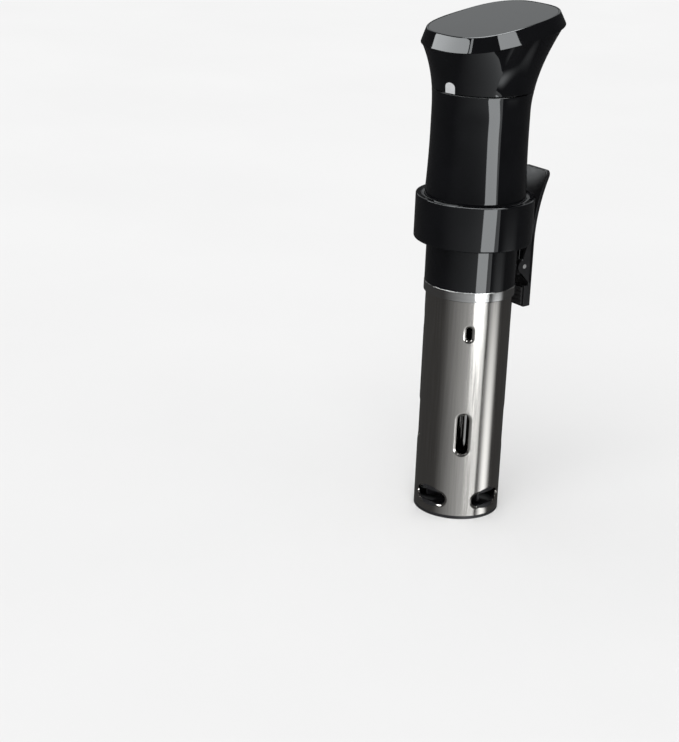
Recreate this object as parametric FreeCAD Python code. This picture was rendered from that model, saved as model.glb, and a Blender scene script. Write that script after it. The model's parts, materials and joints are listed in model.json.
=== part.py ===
import FreeCAD, Part
import math
import os

from FreeCAD import Vector

# Sous vide circulator, millimetres, +Z up, standing on its end cap.
# The origin is the middle of the foot, on the column's axis. -Y is the front,
# where the head is lowest, and +Y is the back, where the clamp lever is.

os.makedirs("parts", exist_ok=True)

# ---------------------------------------------------------------- heights
COLLAR_TOP = 222.0
COLLAR_HEIGHT = 30.0
COLLAR_BOTTOM = COLLAR_TOP - COLLAR_HEIGHT
SEAM_Z = COLLAR_TOP + 70.0            # where the head shell meets the column shell
WAIST_Z = COLLAR_TOP + 45.0           # the column's narrowest height
FLARE_START_Z = COLLAR_TOP + 56.0     # the head's flare begins here
RIM_Z = COLLAR_TOP + 104.5            # the rim's lower edge, on the axis
FACE_Z = COLLAR_TOP + 113.9           # the rim's upper edge, on the axis
COLUMN_BOTTOM = COLLAR_BOTTOM - 1.5
SLEEVE_BOTTOM = COLLAR_TOP - 59.5
SEAM_GAP = 0.5

# ---------------------------------------------------------------- casing
WALL = 2.2
COLUMN_R = 33.7                       # at the collar
WAIST_R = 32.2
SLEEVE_R = 30.6
SLEEVE_IN_R = 28.6
TILT = 10.3                           # degrees, the top slopes up to the back
RIM_HALF_X = 38.9
RIM_HALF_Y = 47.2
RIM_CENTRE_Y = 6.6
RIM_EXPONENT = 2.55
FACE_HALF_X = 34.4
FACE_HALF_Y = 42.5
FACE_CENTRE_Y = 5.8
FACE_EXPONENT = 2.8
RIM_OVERHANG = 0.8
RIM_BEVEL = 0.45
FLARE_POWER = 2.1
CREASE_AT_SEAM = 61.0                 # degrees round from the front
CREASE_AT_RIM = 68.0
CREASE_SPAN = 85.0                    # degrees of scooped wing behind each crease
CREASE_DEPTH = 3.2
HEAD_STEPS = 6
COLUMN_STEPS = 10
STRAIGHT_STEPS = 4

# ---------------------------------------------------------------- touch panel
PANEL_EDGE = 0.9                      # lip of the rim round the panel
PANEL_THICK = 2.2
PANEL_SUNK = 0.2
GASKET_THICK = 0.5
GASKET_WIDE = 1.7
PANEL_FIT = 0.1
RIM_RISE = (FACE_Z - RIM_Z) * math.cos(math.radians(TILT))
PANEL_TOP = RIM_RISE - PANEL_SUNK
PANEL_LOW = PANEL_TOP - PANEL_THICK
TOUCH_BOARD_TOP = PANEL_LOW - 2.4
TOUCH_BOARD_HALF_X = 24.0
DISPLAY_HALF_X = 17.0
BUZZER_R = 6.0
BUZZER_TALL = 4.0
BUZZER_HOLE_R = 1.5
BUZZER_X = -12.0
BUZZER_Y = -8.0
LENS_HALF_WIDE = 3.7
LENS_TALL = 8.6
LENS_ANGLE = 10.0                     # degrees from the front towards +X

# ---------------------------------------------------------------- collar, lever
COLLAR_R = 39.5
COLLAR_IN_R = 35.9
COLLAR_ROUND = 1.2
COLLAR_FLAT_Y = 37.2                  # flat back, room for the lever to swing
COLLAR_FLAT_HALF_X = 14.5
LINER_IN_R = 34.1
PIVOT_Y = 37.0
PIVOT_Z = 170.0
PIN_R = 1.5
PIN_FIT = 0.05
LEVER_HALF_X = 13.0
LEVER_CHEEK = 2.6
LEVER_OUT_Y = 44.7
LEVER_IN_Y = 41.7
LEVER_BEND_Z = 185.0
LEVER_BEND_R = 113.0
LEVER_TOP_Z = 234.0
LEVER_BOTTOM_Z = 141.0
PADDLE_CORNER = 4.0
BRACKET_HALF_X = 10.0
BRACKET_IN_Y = 34.4
BRACKET_OUT_Y = 37.2
BOSS_R = 4.0
SPRING_BAY_HALF_X = 5.5
SPRING_WIRE_R = 0.5
SPRING_TURNS = 8
SPRING_END_X = 3.4
EYE_R = 5.4
JAW_FACE_Y = 36.6
JAW_HEIGHT = 15.0
PAD_THICK = 1.8
PAD_MARGIN = 1.5
PAD_GROOVES = 3
STOP_PAD_HALF_Y = 3.0
STOP_PAD_THICK = 2.2

# ---------------------------------------------------------------- wet end
SKIRT_R = 29.2
SKIRT_IN_R = 28.4
SKIRT_TOP = 157.6
SKIRT_BOTTOM = 2.2
TRIM_R = 30.8
TRIM_IN_R = 29.5
TRIM_BOTTOM = 155.8
CAP_CUP_R = 28.2
CAP_CUP_IN_R = 26.4
CAP_CUP_TOP = 23.0
CAP_FLOOR = 3.0
SHAFT_R = 3.0
SHAFT_FIT = 0.06
FLANGE_Z = 140.0
FLANGE_THICK = 2.5
FLANGE_R = 27.9
HOUSING_FLOOR_TOP = 148.0
HOUSING_BORE_R = 21.6
SPIGOT_R = 28.2
HEATER_TUBE_R = 3.2
HEATER_RING_R = 17.0
HEATER_LEG_STEP = 40.0                # degrees between neighbouring legs
HEATER_LEGS = 6
HEATER_LOW_Z = 38.0
HEATER_HIGH_Z = 116.0
HEATER_END_Z = 151.0
PROBE_RING_R = 18.5
SCREW_RING_R = 24.9
SCREW_R = 1.4
SCREW_HEAD_R = 2.5
SCREW_SOCKET_R = 1.2
FLANGE_SCREWS = 4
SCREW_FIRST = 45.0                    # degrees round from +X to the first screw
GASKET_Z = FLANGE_Z + FLANGE_THICK
HOUSING_Z = GASKET_Z + 1.2
O_RING_R = 1.1
O_RING_SEAT_R = SPIGOT_R - 0.7
SKIRT_SEAL_Z = 151.5
SLEEVE_SEAL_Z = 164.2
SEAL_R = 7.0
SEAL_LIP_R = 5.0
PROBE_ANGLE = 60.0
PROBE_R = 2.0
PROBE_LOW = 62.0
LEVEL_ANGLES = [108.0, 132.0]
LEVEL_R = 1.5
LEVEL_LOW = 92.0
LEVEL_STEP = 10.0
SLEEVE_SEAM = 75.0                    # degrees each way round from the front
SLEEVE_SEAM_GAP = 0.25

# ---------------------------------------------------------------- skirt openings
SLOT_COUNT = 4
SLOT_R = 4.4
SLOT_LOW = 52.0
SLOT_HIGH = 72.0
WINDOW_COUNT = 4
WINDOW_LOW = 8.5
WINDOW_HIGH = 17.5
WINDOW_HALF_X = 13.5
VENT_R = 2.2
VENT_LOW = 131.0
VENT_HIGH = 136.0
FEATURE_FIRST = -38.0                 # degrees, so that one slot faces front right
WINDOW_FIRST = FEATURE_FIRST - 45.0
CAP_BOSS_R = 8.0
CAP_RIB_HALF = 0.9
CAP_RIBS = 6
BEARING_R = 5.5
BEARING_TOP = 8.4

# ---------------------------------------------------------------- rotor
IMPELLER_LOW = 9.6
IMPELLER_HIGH = 20.0
IMPELLER_R = 23.6
IMPELLER_HUB_R = 6.0
BLADE_HALF = 0.9
BLADE_COUNT = 7
COUPLING_LOW = 152.2
COUPLING_HIGH = 164.6
COUPLING_R = 7.5
SET_SCREW_R = 1.2
SET_SCREW_INSET = 3.0
SHAFT_TOP = 158.0
ROTOR_R = 8.6

# ---------------------------------------------------------------- dry end
MOTOR_Z = 169.0
MOTOR_R = 18.5
MOTOR_HEIGHT = 30.0
MOTOR_TOP = MOTOR_Z + MOTOR_HEIGHT
MOTOR_SHAFT_R = 2.0
MOUNT_THICK = 3.0
MOUNT_Z = MOTOR_Z - MOUNT_THICK
RAIL_IN_X = 22.6
RAIL_OUT_X = 26.6
RAIL_HALF_Y = 5.0
RAIL_TOP = 300.0
MOTOR_SCREW_X = 11.0
MOTOR_VENTS = 6
STATOR_IN_R = 9.2
FAN_Z = 206.0
FAN_R = 20.5
FAN_HUB_R = 7.0
FAN_TALL = 9.0
FAN_PITCH = 42.0                      # degrees that a fan blade is turned
BOARD_HALF_X = 21.5
BOARD_Z = 224.0
BOARD_HEIGHT = 64.0
BOARD_THICK = 1.6
POWER_BOARD_Y = 9.0
CONTROL_BOARD_Y = -17.0
SINK_HALF_X = 14.0
SINK_LOW = BOARD_Z + 8.0
SINK_HIGH = BOARD_Z + 50.0
FIN_COUNT = 8
FIN_THICK = 1.2
CAPACITOR_R = 5.5
CAPACITOR_X = 12.0
LEAD_R = 1.2
LEAD_NEAR_R = 20.1                    # beside the motor
LEAD_FAR_R = 22.8                     # beside the fan
LEAD_SPREAD = 22.0                    # degrees round from the heater's ends to the leads

GLAND_R = 5.6
GLAND_BORE_R = 3.4
GLAND_NECK_R = 4.7
GLAND_FLANGE_Y = 27.0
GLAND_Z = COLLAR_TOP + 52.0
GLAND_REACH_Y = 36.4

FULL_TURN = 360.0


# ---------------------------------------------------------------- helpers
def cylinder(radius, z_low, z_high, x=0.0, y=0.0):
    return Part.makeCylinder(radius, z_high - z_low, Vector(x, y, z_low))


def ring(radius, bore, z_low, z_high, x=0.0, y=0.0):
    hole = cylinder(bore, z_low - 1.0, z_high + 1.0, x, y)
    return cylinder(radius, z_low, z_high, x, y).cut(hole)


def block(x_low, x_high, y_low, y_high, z_low, z_high):
    corner = Vector(x_low, y_low, z_low)
    return Part.makeBox(x_high - x_low, y_high - y_low, z_high - z_low, corner)


def rod_x(radius, x_low, x_high, y, z):
    return Part.makeCylinder(radius, x_high - x_low, Vector(x_low, y, z), Vector(1, 0, 0))


def rod_y(radius, y_low, y_high, x, z):
    return Part.makeCylinder(radius, y_high - y_low, Vector(x, y_low, z), Vector(0, 1, 0))


def rod_between(radius, start, end):
    return Part.makeCylinder(radius, (end - start).Length, start, end - start)


def joined(shapes):
    return shapes[0].fuse(shapes[1:]).removeSplitter()


def without(shape, tools):
    return shape.cut(joined(tools)) if len(tools) > 1 else shape.cut(tools[0])


def turned(shape, degrees):
    copy = shape.copy()
    copy.rotate(Vector(0, 0, 0), Vector(0, 0, 1), degrees)
    return copy


def round_the_axis(shape, count, first=0.0):
    return [turned(shape, first + index * FULL_TURN / count) for index in range(count)]


def polar(radius, degrees, z=0.0):
    angle = math.radians(degrees)
    return Vector(radius * math.cos(angle), radius * math.sin(angle), z)


def extrude_x(points, x_low, x_high):
    face = Part.Face(Part.makePolygon([Vector(x_low, y, z) for y, z in points + points[:1]]))
    return face.extrude(Vector(x_high - x_low, 0, 0))


def pipe(radius, points):
    runs = [rod_between(radius, start, end) for start, end in zip(points, points[1:])]
    bends = [Part.makeSphere(radius, point) for point in points[1:-1]]
    return joined(runs + bends)


def save(name, shape):
    shape.exportStep("parts/" + name + ".step")


# ---------------------------------------------------------------- casing outlines
def reach(angle, half_x, half_y, exponent):
    side = abs(math.sin(angle) / half_x) ** exponent
    along = abs(math.cos(angle) / half_y) ** exponent
    return (side + along) ** (-1.0 / exponent)


def on_slope(x, y, height, tilt):
    slope = math.radians(tilt)
    return Vector(x, y * math.cos(slope), height + y * math.sin(slope))


def smooth_edge(points):
    curve = Part.BSplineCurve()
    curve.interpolate(points)
    return curve.toShape()


def closed_outline(half_x, half_y, centre_y, exponent, height, tilt, count=48):
    points = []
    for index in range(count):
        angle = 2.0 * math.pi * index / count
        radius = reach(angle, half_x, half_y, exponent)
        x = radius * math.sin(angle)
        y = centre_y - radius * math.cos(angle)
        points.append(on_slope(x, y, height, tilt))
    curve = Part.BSplineCurve()
    curve.interpolate(points, True)
    return Part.Wire([curve.toShape()])


def flare_at(height):
    rise = max(0.0, (height - FLARE_START_Z) / (RIM_Z - FLARE_START_Z))
    return rise ** FLARE_POWER


def casing_size(height, inset):
    """Half width, half depth, centre and exponent of the casing at a height on the axis."""
    flare = flare_at(height)
    base = WAIST_R
    if height < WAIST_Z:
        drop = (WAIST_Z - height) / (WAIST_Z - COLLAR_TOP)
        base = WAIST_R + (COLUMN_R - WAIST_R) * min(1.0, drop) ** 2
    half_x = base + (RIM_HALF_X - RIM_OVERHANG - WAIST_R) * flare - inset
    half_y = base + (RIM_HALF_Y - RIM_OVERHANG - WAIST_R) * flare - inset
    centre_y = RIM_CENTRE_Y * flare
    exponent = 2.0 + (RIM_EXPONENT - 2.0) * flare
    return half_x, half_y, centre_y, exponent


def column_outline(height, inset):
    half_x, half_y, centre_y, exponent = casing_size(height, inset)
    return closed_outline(half_x, half_y, centre_y, exponent, height, 0.0)


def head_outline(share, inset):
    """Head section; share runs from 0 at the seam to 1 under the rim."""
    height = SEAM_Z + (RIM_Z - SEAM_Z) * share
    half_x, half_y, centre_y, exponent = casing_size(height, inset)
    crease = math.radians(CREASE_AT_SEAM + (CREASE_AT_RIM - CREASE_AT_SEAM) * share)
    span = math.radians(CREASE_SPAN)
    depth = CREASE_DEPTH * math.sin(0.5 * math.pi * share) ** 0.8 if share > 0 else 0.0

    def point_at(angle):
        radius = reach(angle, half_x, half_y, exponent)
        behind = min(angle, 2.0 * math.pi - angle) - crease
        if 0.0 < behind < span:
            part = behind / span
            radius -= depth * 6.75 * part * (1.0 - part) ** 2
        x = radius * math.sin(angle)
        y = centre_y - radius * math.cos(angle)
        return on_slope(x, y, height, TILT * share)

    front_count = 17
    front = []
    for index in range(front_count):
        angle = -crease + 2.0 * crease * index / (front_count - 1)
        front.append(point_at(angle % (2.0 * math.pi)))
    rear_count = 29
    rear = []
    for index in range(rear_count):
        angle = crease + (2.0 * math.pi - 2.0 * crease) * index / (rear_count - 1)
        rear.append(point_at(angle))
    return Part.Wire([smooth_edge(front), smooth_edge(rear)])


def column_solid(inset, z_low):
    """The column up to the seam, as one smooth loft."""
    straight = COLLAR_TOP - z_low
    heights = [z_low + straight * index / STRAIGHT_STEPS for index in range(STRAIGHT_STEPS)]
    rise = SEAM_Z - COLLAR_TOP
    heights += [COLLAR_TOP + rise * index / COLUMN_STEPS for index in range(COLUMN_STEPS + 1)]
    outlines = [column_outline(height, inset) for height in heights]
    return Part.makeLoft(outlines, True, False)


def head_solid(inset):
    shares = [index / (HEAD_STEPS - 1) for index in range(HEAD_STEPS)]
    return Part.makeLoft([head_outline(share, inset) for share in shares], True, False)


def rim_outline(half_x, half_y, rise):
    """Outline in the rim's sloping planes, rise millimetres above its lower edge."""
    height = RIM_Z + rise / math.cos(math.radians(TILT))
    return closed_outline(half_x, half_y, FACE_CENTRE_Y, FACE_EXPONENT, height, TILT)


def rim_prism(inset, rise_low, rise_high):
    """A straight-sided piece that follows the face's outline, inset from it."""
    outlines = []
    for rise in (rise_low, rise_high):
        outlines.append(rim_outline(FACE_HALF_X - inset, FACE_HALF_Y - inset, rise))
    return Part.makeLoft(outlines, True, True)


def sloped_block(x_low, x_high, y_low, y_high, rise_low, rise_high):
    shape = block(x_low, x_high, y_low, y_high, rise_low, rise_high)
    shape.rotate(Vector(0, 0, 0), Vector(1, 0, 0), TILT)
    shape.translate(Vector(0, 0, RIM_Z))
    return shape


# ---------------------------------------------------------------- head
def lens_prism(grow):
    """Dome-topped plug that stands on the seam, drawn at the front and turned."""
    half = LENS_HALF_WIDE + grow
    low = SEAM_Z + SEAM_GAP
    arch_z = low + LENS_TALL - LENS_HALF_WIDE
    straight = block(-half, half, -45.0, -20.0, low, arch_z)
    arch = rod_y(half, -45.0, -20.0, 0.0, arch_z)
    return turned(joined([straight, arch]), LENS_ANGLE)


def head_shell_blank():
    wall = head_solid(0.0).cut(head_solid(WALL))
    above_gap = cylinder(2.0 * COLUMN_R, SEAM_Z + SEAM_GAP, FACE_Z + RIM_HALF_Y)
    return wall.common(above_gap)


def head_shell():
    return head_shell_blank().cut(lens_prism(PANEL_FIT))


def indicator_lens():
    return head_shell_blank().common(lens_prism(0.0))


def bezel_outline(share, inset):
    """Outline of the rim's outside; share runs from 0 at its lower edge to 1 at its top."""
    half_x = RIM_HALF_X + (FACE_HALF_X - RIM_HALF_X) * share - inset
    half_y = RIM_HALF_Y + (FACE_HALF_Y - RIM_HALF_Y) * share - inset
    centre_y = RIM_CENTRE_Y + (FACE_CENTRE_Y - RIM_CENTRE_Y) * share
    exponent = RIM_EXPONENT + (FACE_EXPONENT - RIM_EXPONENT) * share
    height = RIM_Z + (FACE_Z - RIM_Z) * share
    return closed_outline(half_x, half_y, centre_y, exponent, height, TILT)


def rim_bezel():
    bevel_share = RIM_BEVEL / RIM_RISE
    outlines = [bezel_outline(0.0, RIM_BEVEL), bezel_outline(bevel_share, 0.0),
                bezel_outline(1.0 - bevel_share, 0.0), bezel_outline(1.0, RIM_BEVEL)]
    outer = Part.makeLoft(outlines, True, True)
    opening = rim_prism(PANEL_EDGE + GASKET_WIDE + 0.2, -1.0, RIM_RISE + 1.0)
    recess = rim_prism(PANEL_EDGE, PANEL_LOW - GASKET_THICK, RIM_RISE + 1.0)
    return outer.cut(opening).cut(recess)


def touch_panel():
    return rim_prism(PANEL_EDGE + PANEL_FIT, PANEL_LOW, PANEL_TOP)


def panel_gasket():
    low = PANEL_LOW - GASKET_THICK
    outer = rim_prism(PANEL_EDGE + 2.0 * PANEL_FIT, low, PANEL_LOW)
    return outer.cut(rim_prism(PANEL_EDGE + GASKET_WIDE, low - 1.0, PANEL_LOW + 1.0))


def display_module():
    top = PANEL_LOW - PANEL_FIT
    return sloped_block(-DISPLAY_HALF_X, DISPLAY_HALF_X, -20.0, 4.0, TOUCH_BOARD_TOP, top)


def touch_board():
    low = TOUCH_BOARD_TOP - BOARD_THICK
    board = sloped_block(-TOUCH_BOARD_HALF_X, TOUCH_BOARD_HALF_X, -23.0, 34.0, low, TOUCH_BOARD_TOP)
    chip = sloped_block(-6.0, 6.0, 10.0, 20.0, TOUCH_BOARD_TOP, TOUCH_BOARD_TOP + 1.2)
    return joined([board, chip])


def buzzer():
    """Disc under the touch board, with its sound hole below."""
    shape = cylinder(BUZZER_R, -BUZZER_TALL, 0.0, BUZZER_X, BUZZER_Y)
    hole = cylinder(BUZZER_HOLE_R, -BUZZER_TALL - 1.0, 1.0 - BUZZER_TALL, BUZZER_X, BUZZER_Y)
    shape = shape.cut(hole)
    shape.rotate(Vector(0, 0, 0), Vector(1, 0, 0), TILT)
    shape.translate(on_slope(0, 0, RIM_Z, TILT))
    lift = TOUCH_BOARD_TOP - BOARD_THICK
    slope = math.radians(TILT)
    shape.translate(Vector(0, -lift * math.sin(slope), lift * math.cos(slope)))
    return shape


def cord_gland():
    """Bush that the cord leaves through, with a flange inside the shell."""
    body = rod_y(GLAND_NECK_R, GLAND_FLANGE_Y, GLAND_REACH_Y, 0.0, GLAND_Z)
    lip = rod_y(GLAND_R, WAIST_R + 0.4, GLAND_REACH_Y, 0.0, GLAND_Z)
    rim_edges = [edge for edge in lip.Edges if len(edge.Vertexes) == 1]
    lip = lip.makeFillet(1.0, [edge for edge in rim_edges if edge.CenterOfMass.y > WAIST_R + 2.0])
    flange = rod_y(GLAND_R + 1.4, GLAND_FLANGE_Y, GLAND_FLANGE_Y + 1.8, 0.0, GLAND_Z)
    bore = rod_y(GLAND_BORE_R, GLAND_FLANGE_Y - 1.0, GLAND_REACH_Y + 1.0, 0.0, GLAND_Z)
    return joined([body, lip, flange]).cut(bore)


# ---------------------------------------------------------------- column, sleeve
def column_shell():
    outer = column_solid(0.0, COLUMN_BOTTOM)
    inner = column_solid(WALL, COLUMN_BOTTOM - 1.0)
    gland_hole = rod_y(GLAND_NECK_R + 0.05, 20.0, 2.0 * WAIST_R, 0.0, GLAND_Z)
    return outer.cut(inner).cut(gland_hole)


def sleeve_half(first, last):
    low_wall = ring(SLEEVE_R, SLEEVE_IN_R, SLEEVE_BOTTOM, COLUMN_BOTTOM + 6.0)
    reach_out = 2.0 * SLEEVE_R
    wedge = Part.makeCylinder(reach_out, COLLAR_TOP, Vector(0, 0, 0), Vector(0, 0, 1), last - first)
    return low_wall.common(turned(wedge, first))


def sleeve_front():
    gap = math.degrees(SLEEVE_SEAM_GAP / SLEEVE_R)
    return sleeve_half(-90.0 - SLEEVE_SEAM + gap, -90.0 + SLEEVE_SEAM)


def sleeve_rear():
    gap = math.degrees(SLEEVE_SEAM_GAP / SLEEVE_R)
    return sleeve_half(-90.0 + SLEEVE_SEAM + gap, 270.0 - SLEEVE_SEAM)


def trim_ring():
    return ring(TRIM_R, TRIM_IN_R, TRIM_BOTTOM, SLEEVE_BOTTOM)


# ---------------------------------------------------------------- collar and lever
def clamp_collar():
    body = cylinder(COLLAR_R, COLLAR_BOTTOM, COLLAR_TOP)
    body = body.makeFillet(COLLAR_ROUND, [edge for edge in body.Edges if len(edge.Vertexes) == 1])
    body = body.cut(cylinder(COLLAR_IN_R, COLLAR_BOTTOM - 1.0, COLLAR_TOP + 1.0))
    flat = block(-COLLAR_FLAT_HALF_X, COLLAR_FLAT_HALF_X, COLLAR_FLAT_Y, COLLAR_R + 1.0,
                 COLLAR_BOTTOM - 1.0, COLLAR_TOP + 1.0)
    body = body.cut(flat)
    plate = block(-BRACKET_HALF_X, BRACKET_HALF_X, BRACKET_IN_Y, BRACKET_OUT_Y,
                  PIVOT_Z, COLLAR_BOTTOM + 4.0)
    boss = rod_x(BOSS_R, -BRACKET_HALF_X, BRACKET_HALF_X, PIVOT_Y, PIVOT_Z)
    bracket = joined([plate, boss]).cut(cylinder(COLLAR_IN_R, COLLAR_BOTTOM, COLLAR_TOP))
    bay = block(-SPRING_BAY_HALF_X, SPRING_BAY_HALF_X, SLEEVE_R, COLLAR_R + 3.0,
                PIVOT_Z - BOSS_R - 1.0, PIVOT_Z + 12.0)
    pin_hole = rod_x(PIN_R, -COLLAR_R, COLLAR_R, PIVOT_Y, PIVOT_Z)
    return joined([body, bracket.cut(bay)]).cut(pin_hole)


def collar_liner():
    liner = ring(COLLAR_IN_R, LINER_IN_R, COLLAR_BOTTOM + 0.6, COLLAR_TOP - 0.6)
    slit = block(-1.0, 1.0, -COLLAR_R, 0.0, COLLAR_BOTTOM, COLLAR_TOP)
    return liner.cut(slit)


def lever_profile():
    """Side view of the paddle: straight below the bend, leaning outwards above it."""
    centre = Vector(0, LEVER_OUT_Y + LEVER_BEND_R, LEVER_BEND_Z)
    inner_r = LEVER_BEND_R + LEVER_OUT_Y - LEVER_IN_Y

    def on_arc(radius, z):
        rise = z - LEVER_BEND_Z
        return Vector(0, centre.y - math.sqrt(radius ** 2 - rise ** 2), z)

    middle = (LEVER_BEND_Z + LEVER_TOP_Z) / 2.0
    outer_low = Vector(0, LEVER_OUT_Y, LEVER_BOTTOM_Z)
    inner_low = Vector(0, LEVER_IN_Y, LEVER_BOTTOM_Z)
    edges = [
        Part.LineSegment(outer_low, on_arc(LEVER_BEND_R, LEVER_BEND_Z)).toShape(),
        Part.Arc(on_arc(LEVER_BEND_R, LEVER_BEND_Z), on_arc(LEVER_BEND_R, middle),
                 on_arc(LEVER_BEND_R, LEVER_TOP_Z)).toShape(),
        Part.LineSegment(on_arc(LEVER_BEND_R, LEVER_TOP_Z),
                         on_arc(inner_r, LEVER_TOP_Z + 1.0)).toShape(),
        Part.Arc(on_arc(inner_r, LEVER_TOP_Z + 1.0), on_arc(inner_r, middle),
                 on_arc(inner_r, LEVER_BEND_Z)).toShape(),
        Part.LineSegment(on_arc(inner_r, LEVER_BEND_Z), inner_low).toShape(),
        Part.LineSegment(inner_low, outer_low).toShape(),
    ]
    return Part.Wire(edges)


def is_top_corner(edge):
    """True for the two short edges at the paddle's upper corners."""
    box = edge.BoundBox
    return box.XLength < 0.01 and box.ZMin > LEVER_TOP_Z - 0.5 and abs(box.XMin) > LEVER_HALF_X - 0.5


def clamp_lever():
    paddle = Part.Face(lever_profile()).extrude(Vector(2.0 * LEVER_HALF_X, 0, 0))
    paddle.translate(Vector(-LEVER_HALF_X, 0, 0))
    corners = [edge for edge in paddle.Edges if is_top_corner(edge)]
    paddle = paddle.makeFillet(PADDLE_CORNER, corners)
    cheeks = []
    for side in (-1, 1):
        x_in = side * (LEVER_HALF_X - LEVER_CHEEK)
        x_low, x_high = sorted((x_in, side * LEVER_HALF_X))
        web = extrude_x([(LEVER_OUT_Y - 1.0, PIVOT_Z - 14.0), (PIVOT_Y - 2.0, PIVOT_Z - EYE_R),
                         (PIVOT_Y - 2.0, PIVOT_Z + EYE_R), (LEVER_IN_Y - 1.6, COLLAR_BOTTOM - 1.6),
                         (LEVER_OUT_Y - 1.0, COLLAR_BOTTOM + 2.0)], x_low, x_high)
        eye = rod_x(EYE_R, x_low, x_high, PIVOT_Y, PIVOT_Z)
        cheeks += [web, eye]
    jaw = block(-LEVER_HALF_X, LEVER_HALF_X, JAW_FACE_Y + PAD_THICK, LEVER_IN_Y + 1.0,
                LEVER_BOTTOM_Z, LEVER_BOTTOM_Z + JAW_HEIGHT)
    body = joined([paddle, jaw] + cheeks)
    pin_hole = rod_x(PIN_R + PIN_FIT, -COLLAR_R, COLLAR_R, PIVOT_Y, PIVOT_Z)
    return body.cut(pin_hole)


def jaw_pad():
    half_x = LEVER_HALF_X - PAD_MARGIN
    pad = block(-half_x, half_x, JAW_FACE_Y, JAW_FACE_Y + PAD_THICK,
                LEVER_BOTTOM_Z + PAD_MARGIN, LEVER_BOTTOM_Z + JAW_HEIGHT - PAD_MARGIN)
    grooves = []
    for index in range(PAD_GROOVES):
        z_low = LEVER_BOTTOM_Z + 4.0 + 3.2 * index
        grooves.append(block(-LEVER_HALF_X, LEVER_HALF_X, JAW_FACE_Y - 1.0, JAW_FACE_Y + 0.7,
                             z_low, z_low + 1.0))
    return without(pad, grooves)


def hinge_pin():
    return rod_x(PIN_R, -LEVER_HALF_X - 0.2, LEVER_HALF_X + 0.2, PIVOT_Y, PIVOT_Z)


def lever_spring():
    """Torsion spring in the bracket's bay, with one leg along the lever."""
    coil_r = PIN_R + 2.0 * SPRING_WIRE_R
    pitch = 2.0 * SPRING_WIRE_R * 0.97
    coils = []
    for index in range(SPRING_TURNS):
        centre = Vector(index * pitch - SPRING_END_X, PIVOT_Y, PIVOT_Z)
        coils.append(Part.makeTorus(coil_r, SPRING_WIRE_R, centre, Vector(1, 0, 0)))
    last_x = (SPRING_TURNS - 1) * pitch - SPRING_END_X
    long_leg = rod_between(SPRING_WIRE_R, Vector(-SPRING_END_X, PIVOT_Y + coil_r, PIVOT_Z),
                           Vector(-SPRING_END_X, LEVER_IN_Y - 0.55, PIVOT_Z + 9.0))
    short_leg = rod_between(SPRING_WIRE_R, Vector(last_x, PIVOT_Y, PIVOT_Z - coil_r),
                            Vector(last_x, PIVOT_Y - 1.0, PIVOT_Z - coil_r - 1.6))
    return joined(coils + [long_leg, short_leg])


def wall_stop_pad():
    """Soft feet under the bracket, where the top of a pot's wall stops."""
    high = PIVOT_Z - BOSS_R
    feet = []
    for side in (-1, 1):
        near, far = side * (SPRING_BAY_HALF_X + 0.4), side * BRACKET_HALF_X
        feet.append(block(min(near, far), max(near, far), PIVOT_Y - STOP_PAD_HALF_Y,
                          PIVOT_Y + STOP_PAD_HALF_Y, high - STOP_PAD_THICK, high))
    return Part.makeCompound(feet)


# ---------------------------------------------------------------- bulkhead
def heater_leg_angles():
    spread = HEATER_LEG_STEP * (HEATER_LEGS - 1)
    return [-90.0 - spread / 2.0 + HEATER_LEG_STEP * index for index in range(HEATER_LEGS)]


def heater_end_angles():
    angles = heater_leg_angles()
    return [angles[0], angles[-1]]


def passing_holes(z_low, z_high, screws):
    """Bores for everything that passes from the dry side to the wet side."""
    holes = []
    for angle in heater_end_angles():
        spot = polar(HEATER_RING_R, angle)
        holes.append(cylinder(HEATER_TUBE_R, z_low, z_high, spot.x, spot.y))
    spot = polar(PROBE_RING_R, PROBE_ANGLE)
    holes.append(cylinder(PROBE_R, z_low, z_high, spot.x, spot.y))
    for angle in LEVEL_ANGLES:
        spot = polar(PROBE_RING_R, angle)
        holes.append(cylinder(LEVEL_R, z_low, z_high, spot.x, spot.y))
    if screws:
        spot = polar(SCREW_RING_R, SCREW_FIRST)
        holes += round_the_axis(cylinder(SCREW_R, z_low, z_high, spot.x, spot.y), FLANGE_SCREWS)
    return holes


def heater_flange():
    plate = cylinder(FLANGE_R, FLANGE_Z, FLANGE_Z + FLANGE_THICK)
    low, high = FLANGE_Z - 1.0, FLANGE_Z + FLANGE_THICK + 1.0
    return without(plate, passing_holes(low, high, True) + [cylinder(SHAFT_R + 1.0, low, high)])


def flange_gasket():
    gasket = ring(FLANGE_R - 0.3, HOUSING_BORE_R, GASKET_Z, HOUSING_Z)
    spot = polar(SCREW_RING_R, SCREW_FIRST)
    hole = cylinder(SCREW_R, GASKET_Z - 1.0, HOUSING_Z + 1.0, spot.x, spot.y)
    return without(gasket, round_the_axis(hole, FLANGE_SCREWS))


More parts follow.
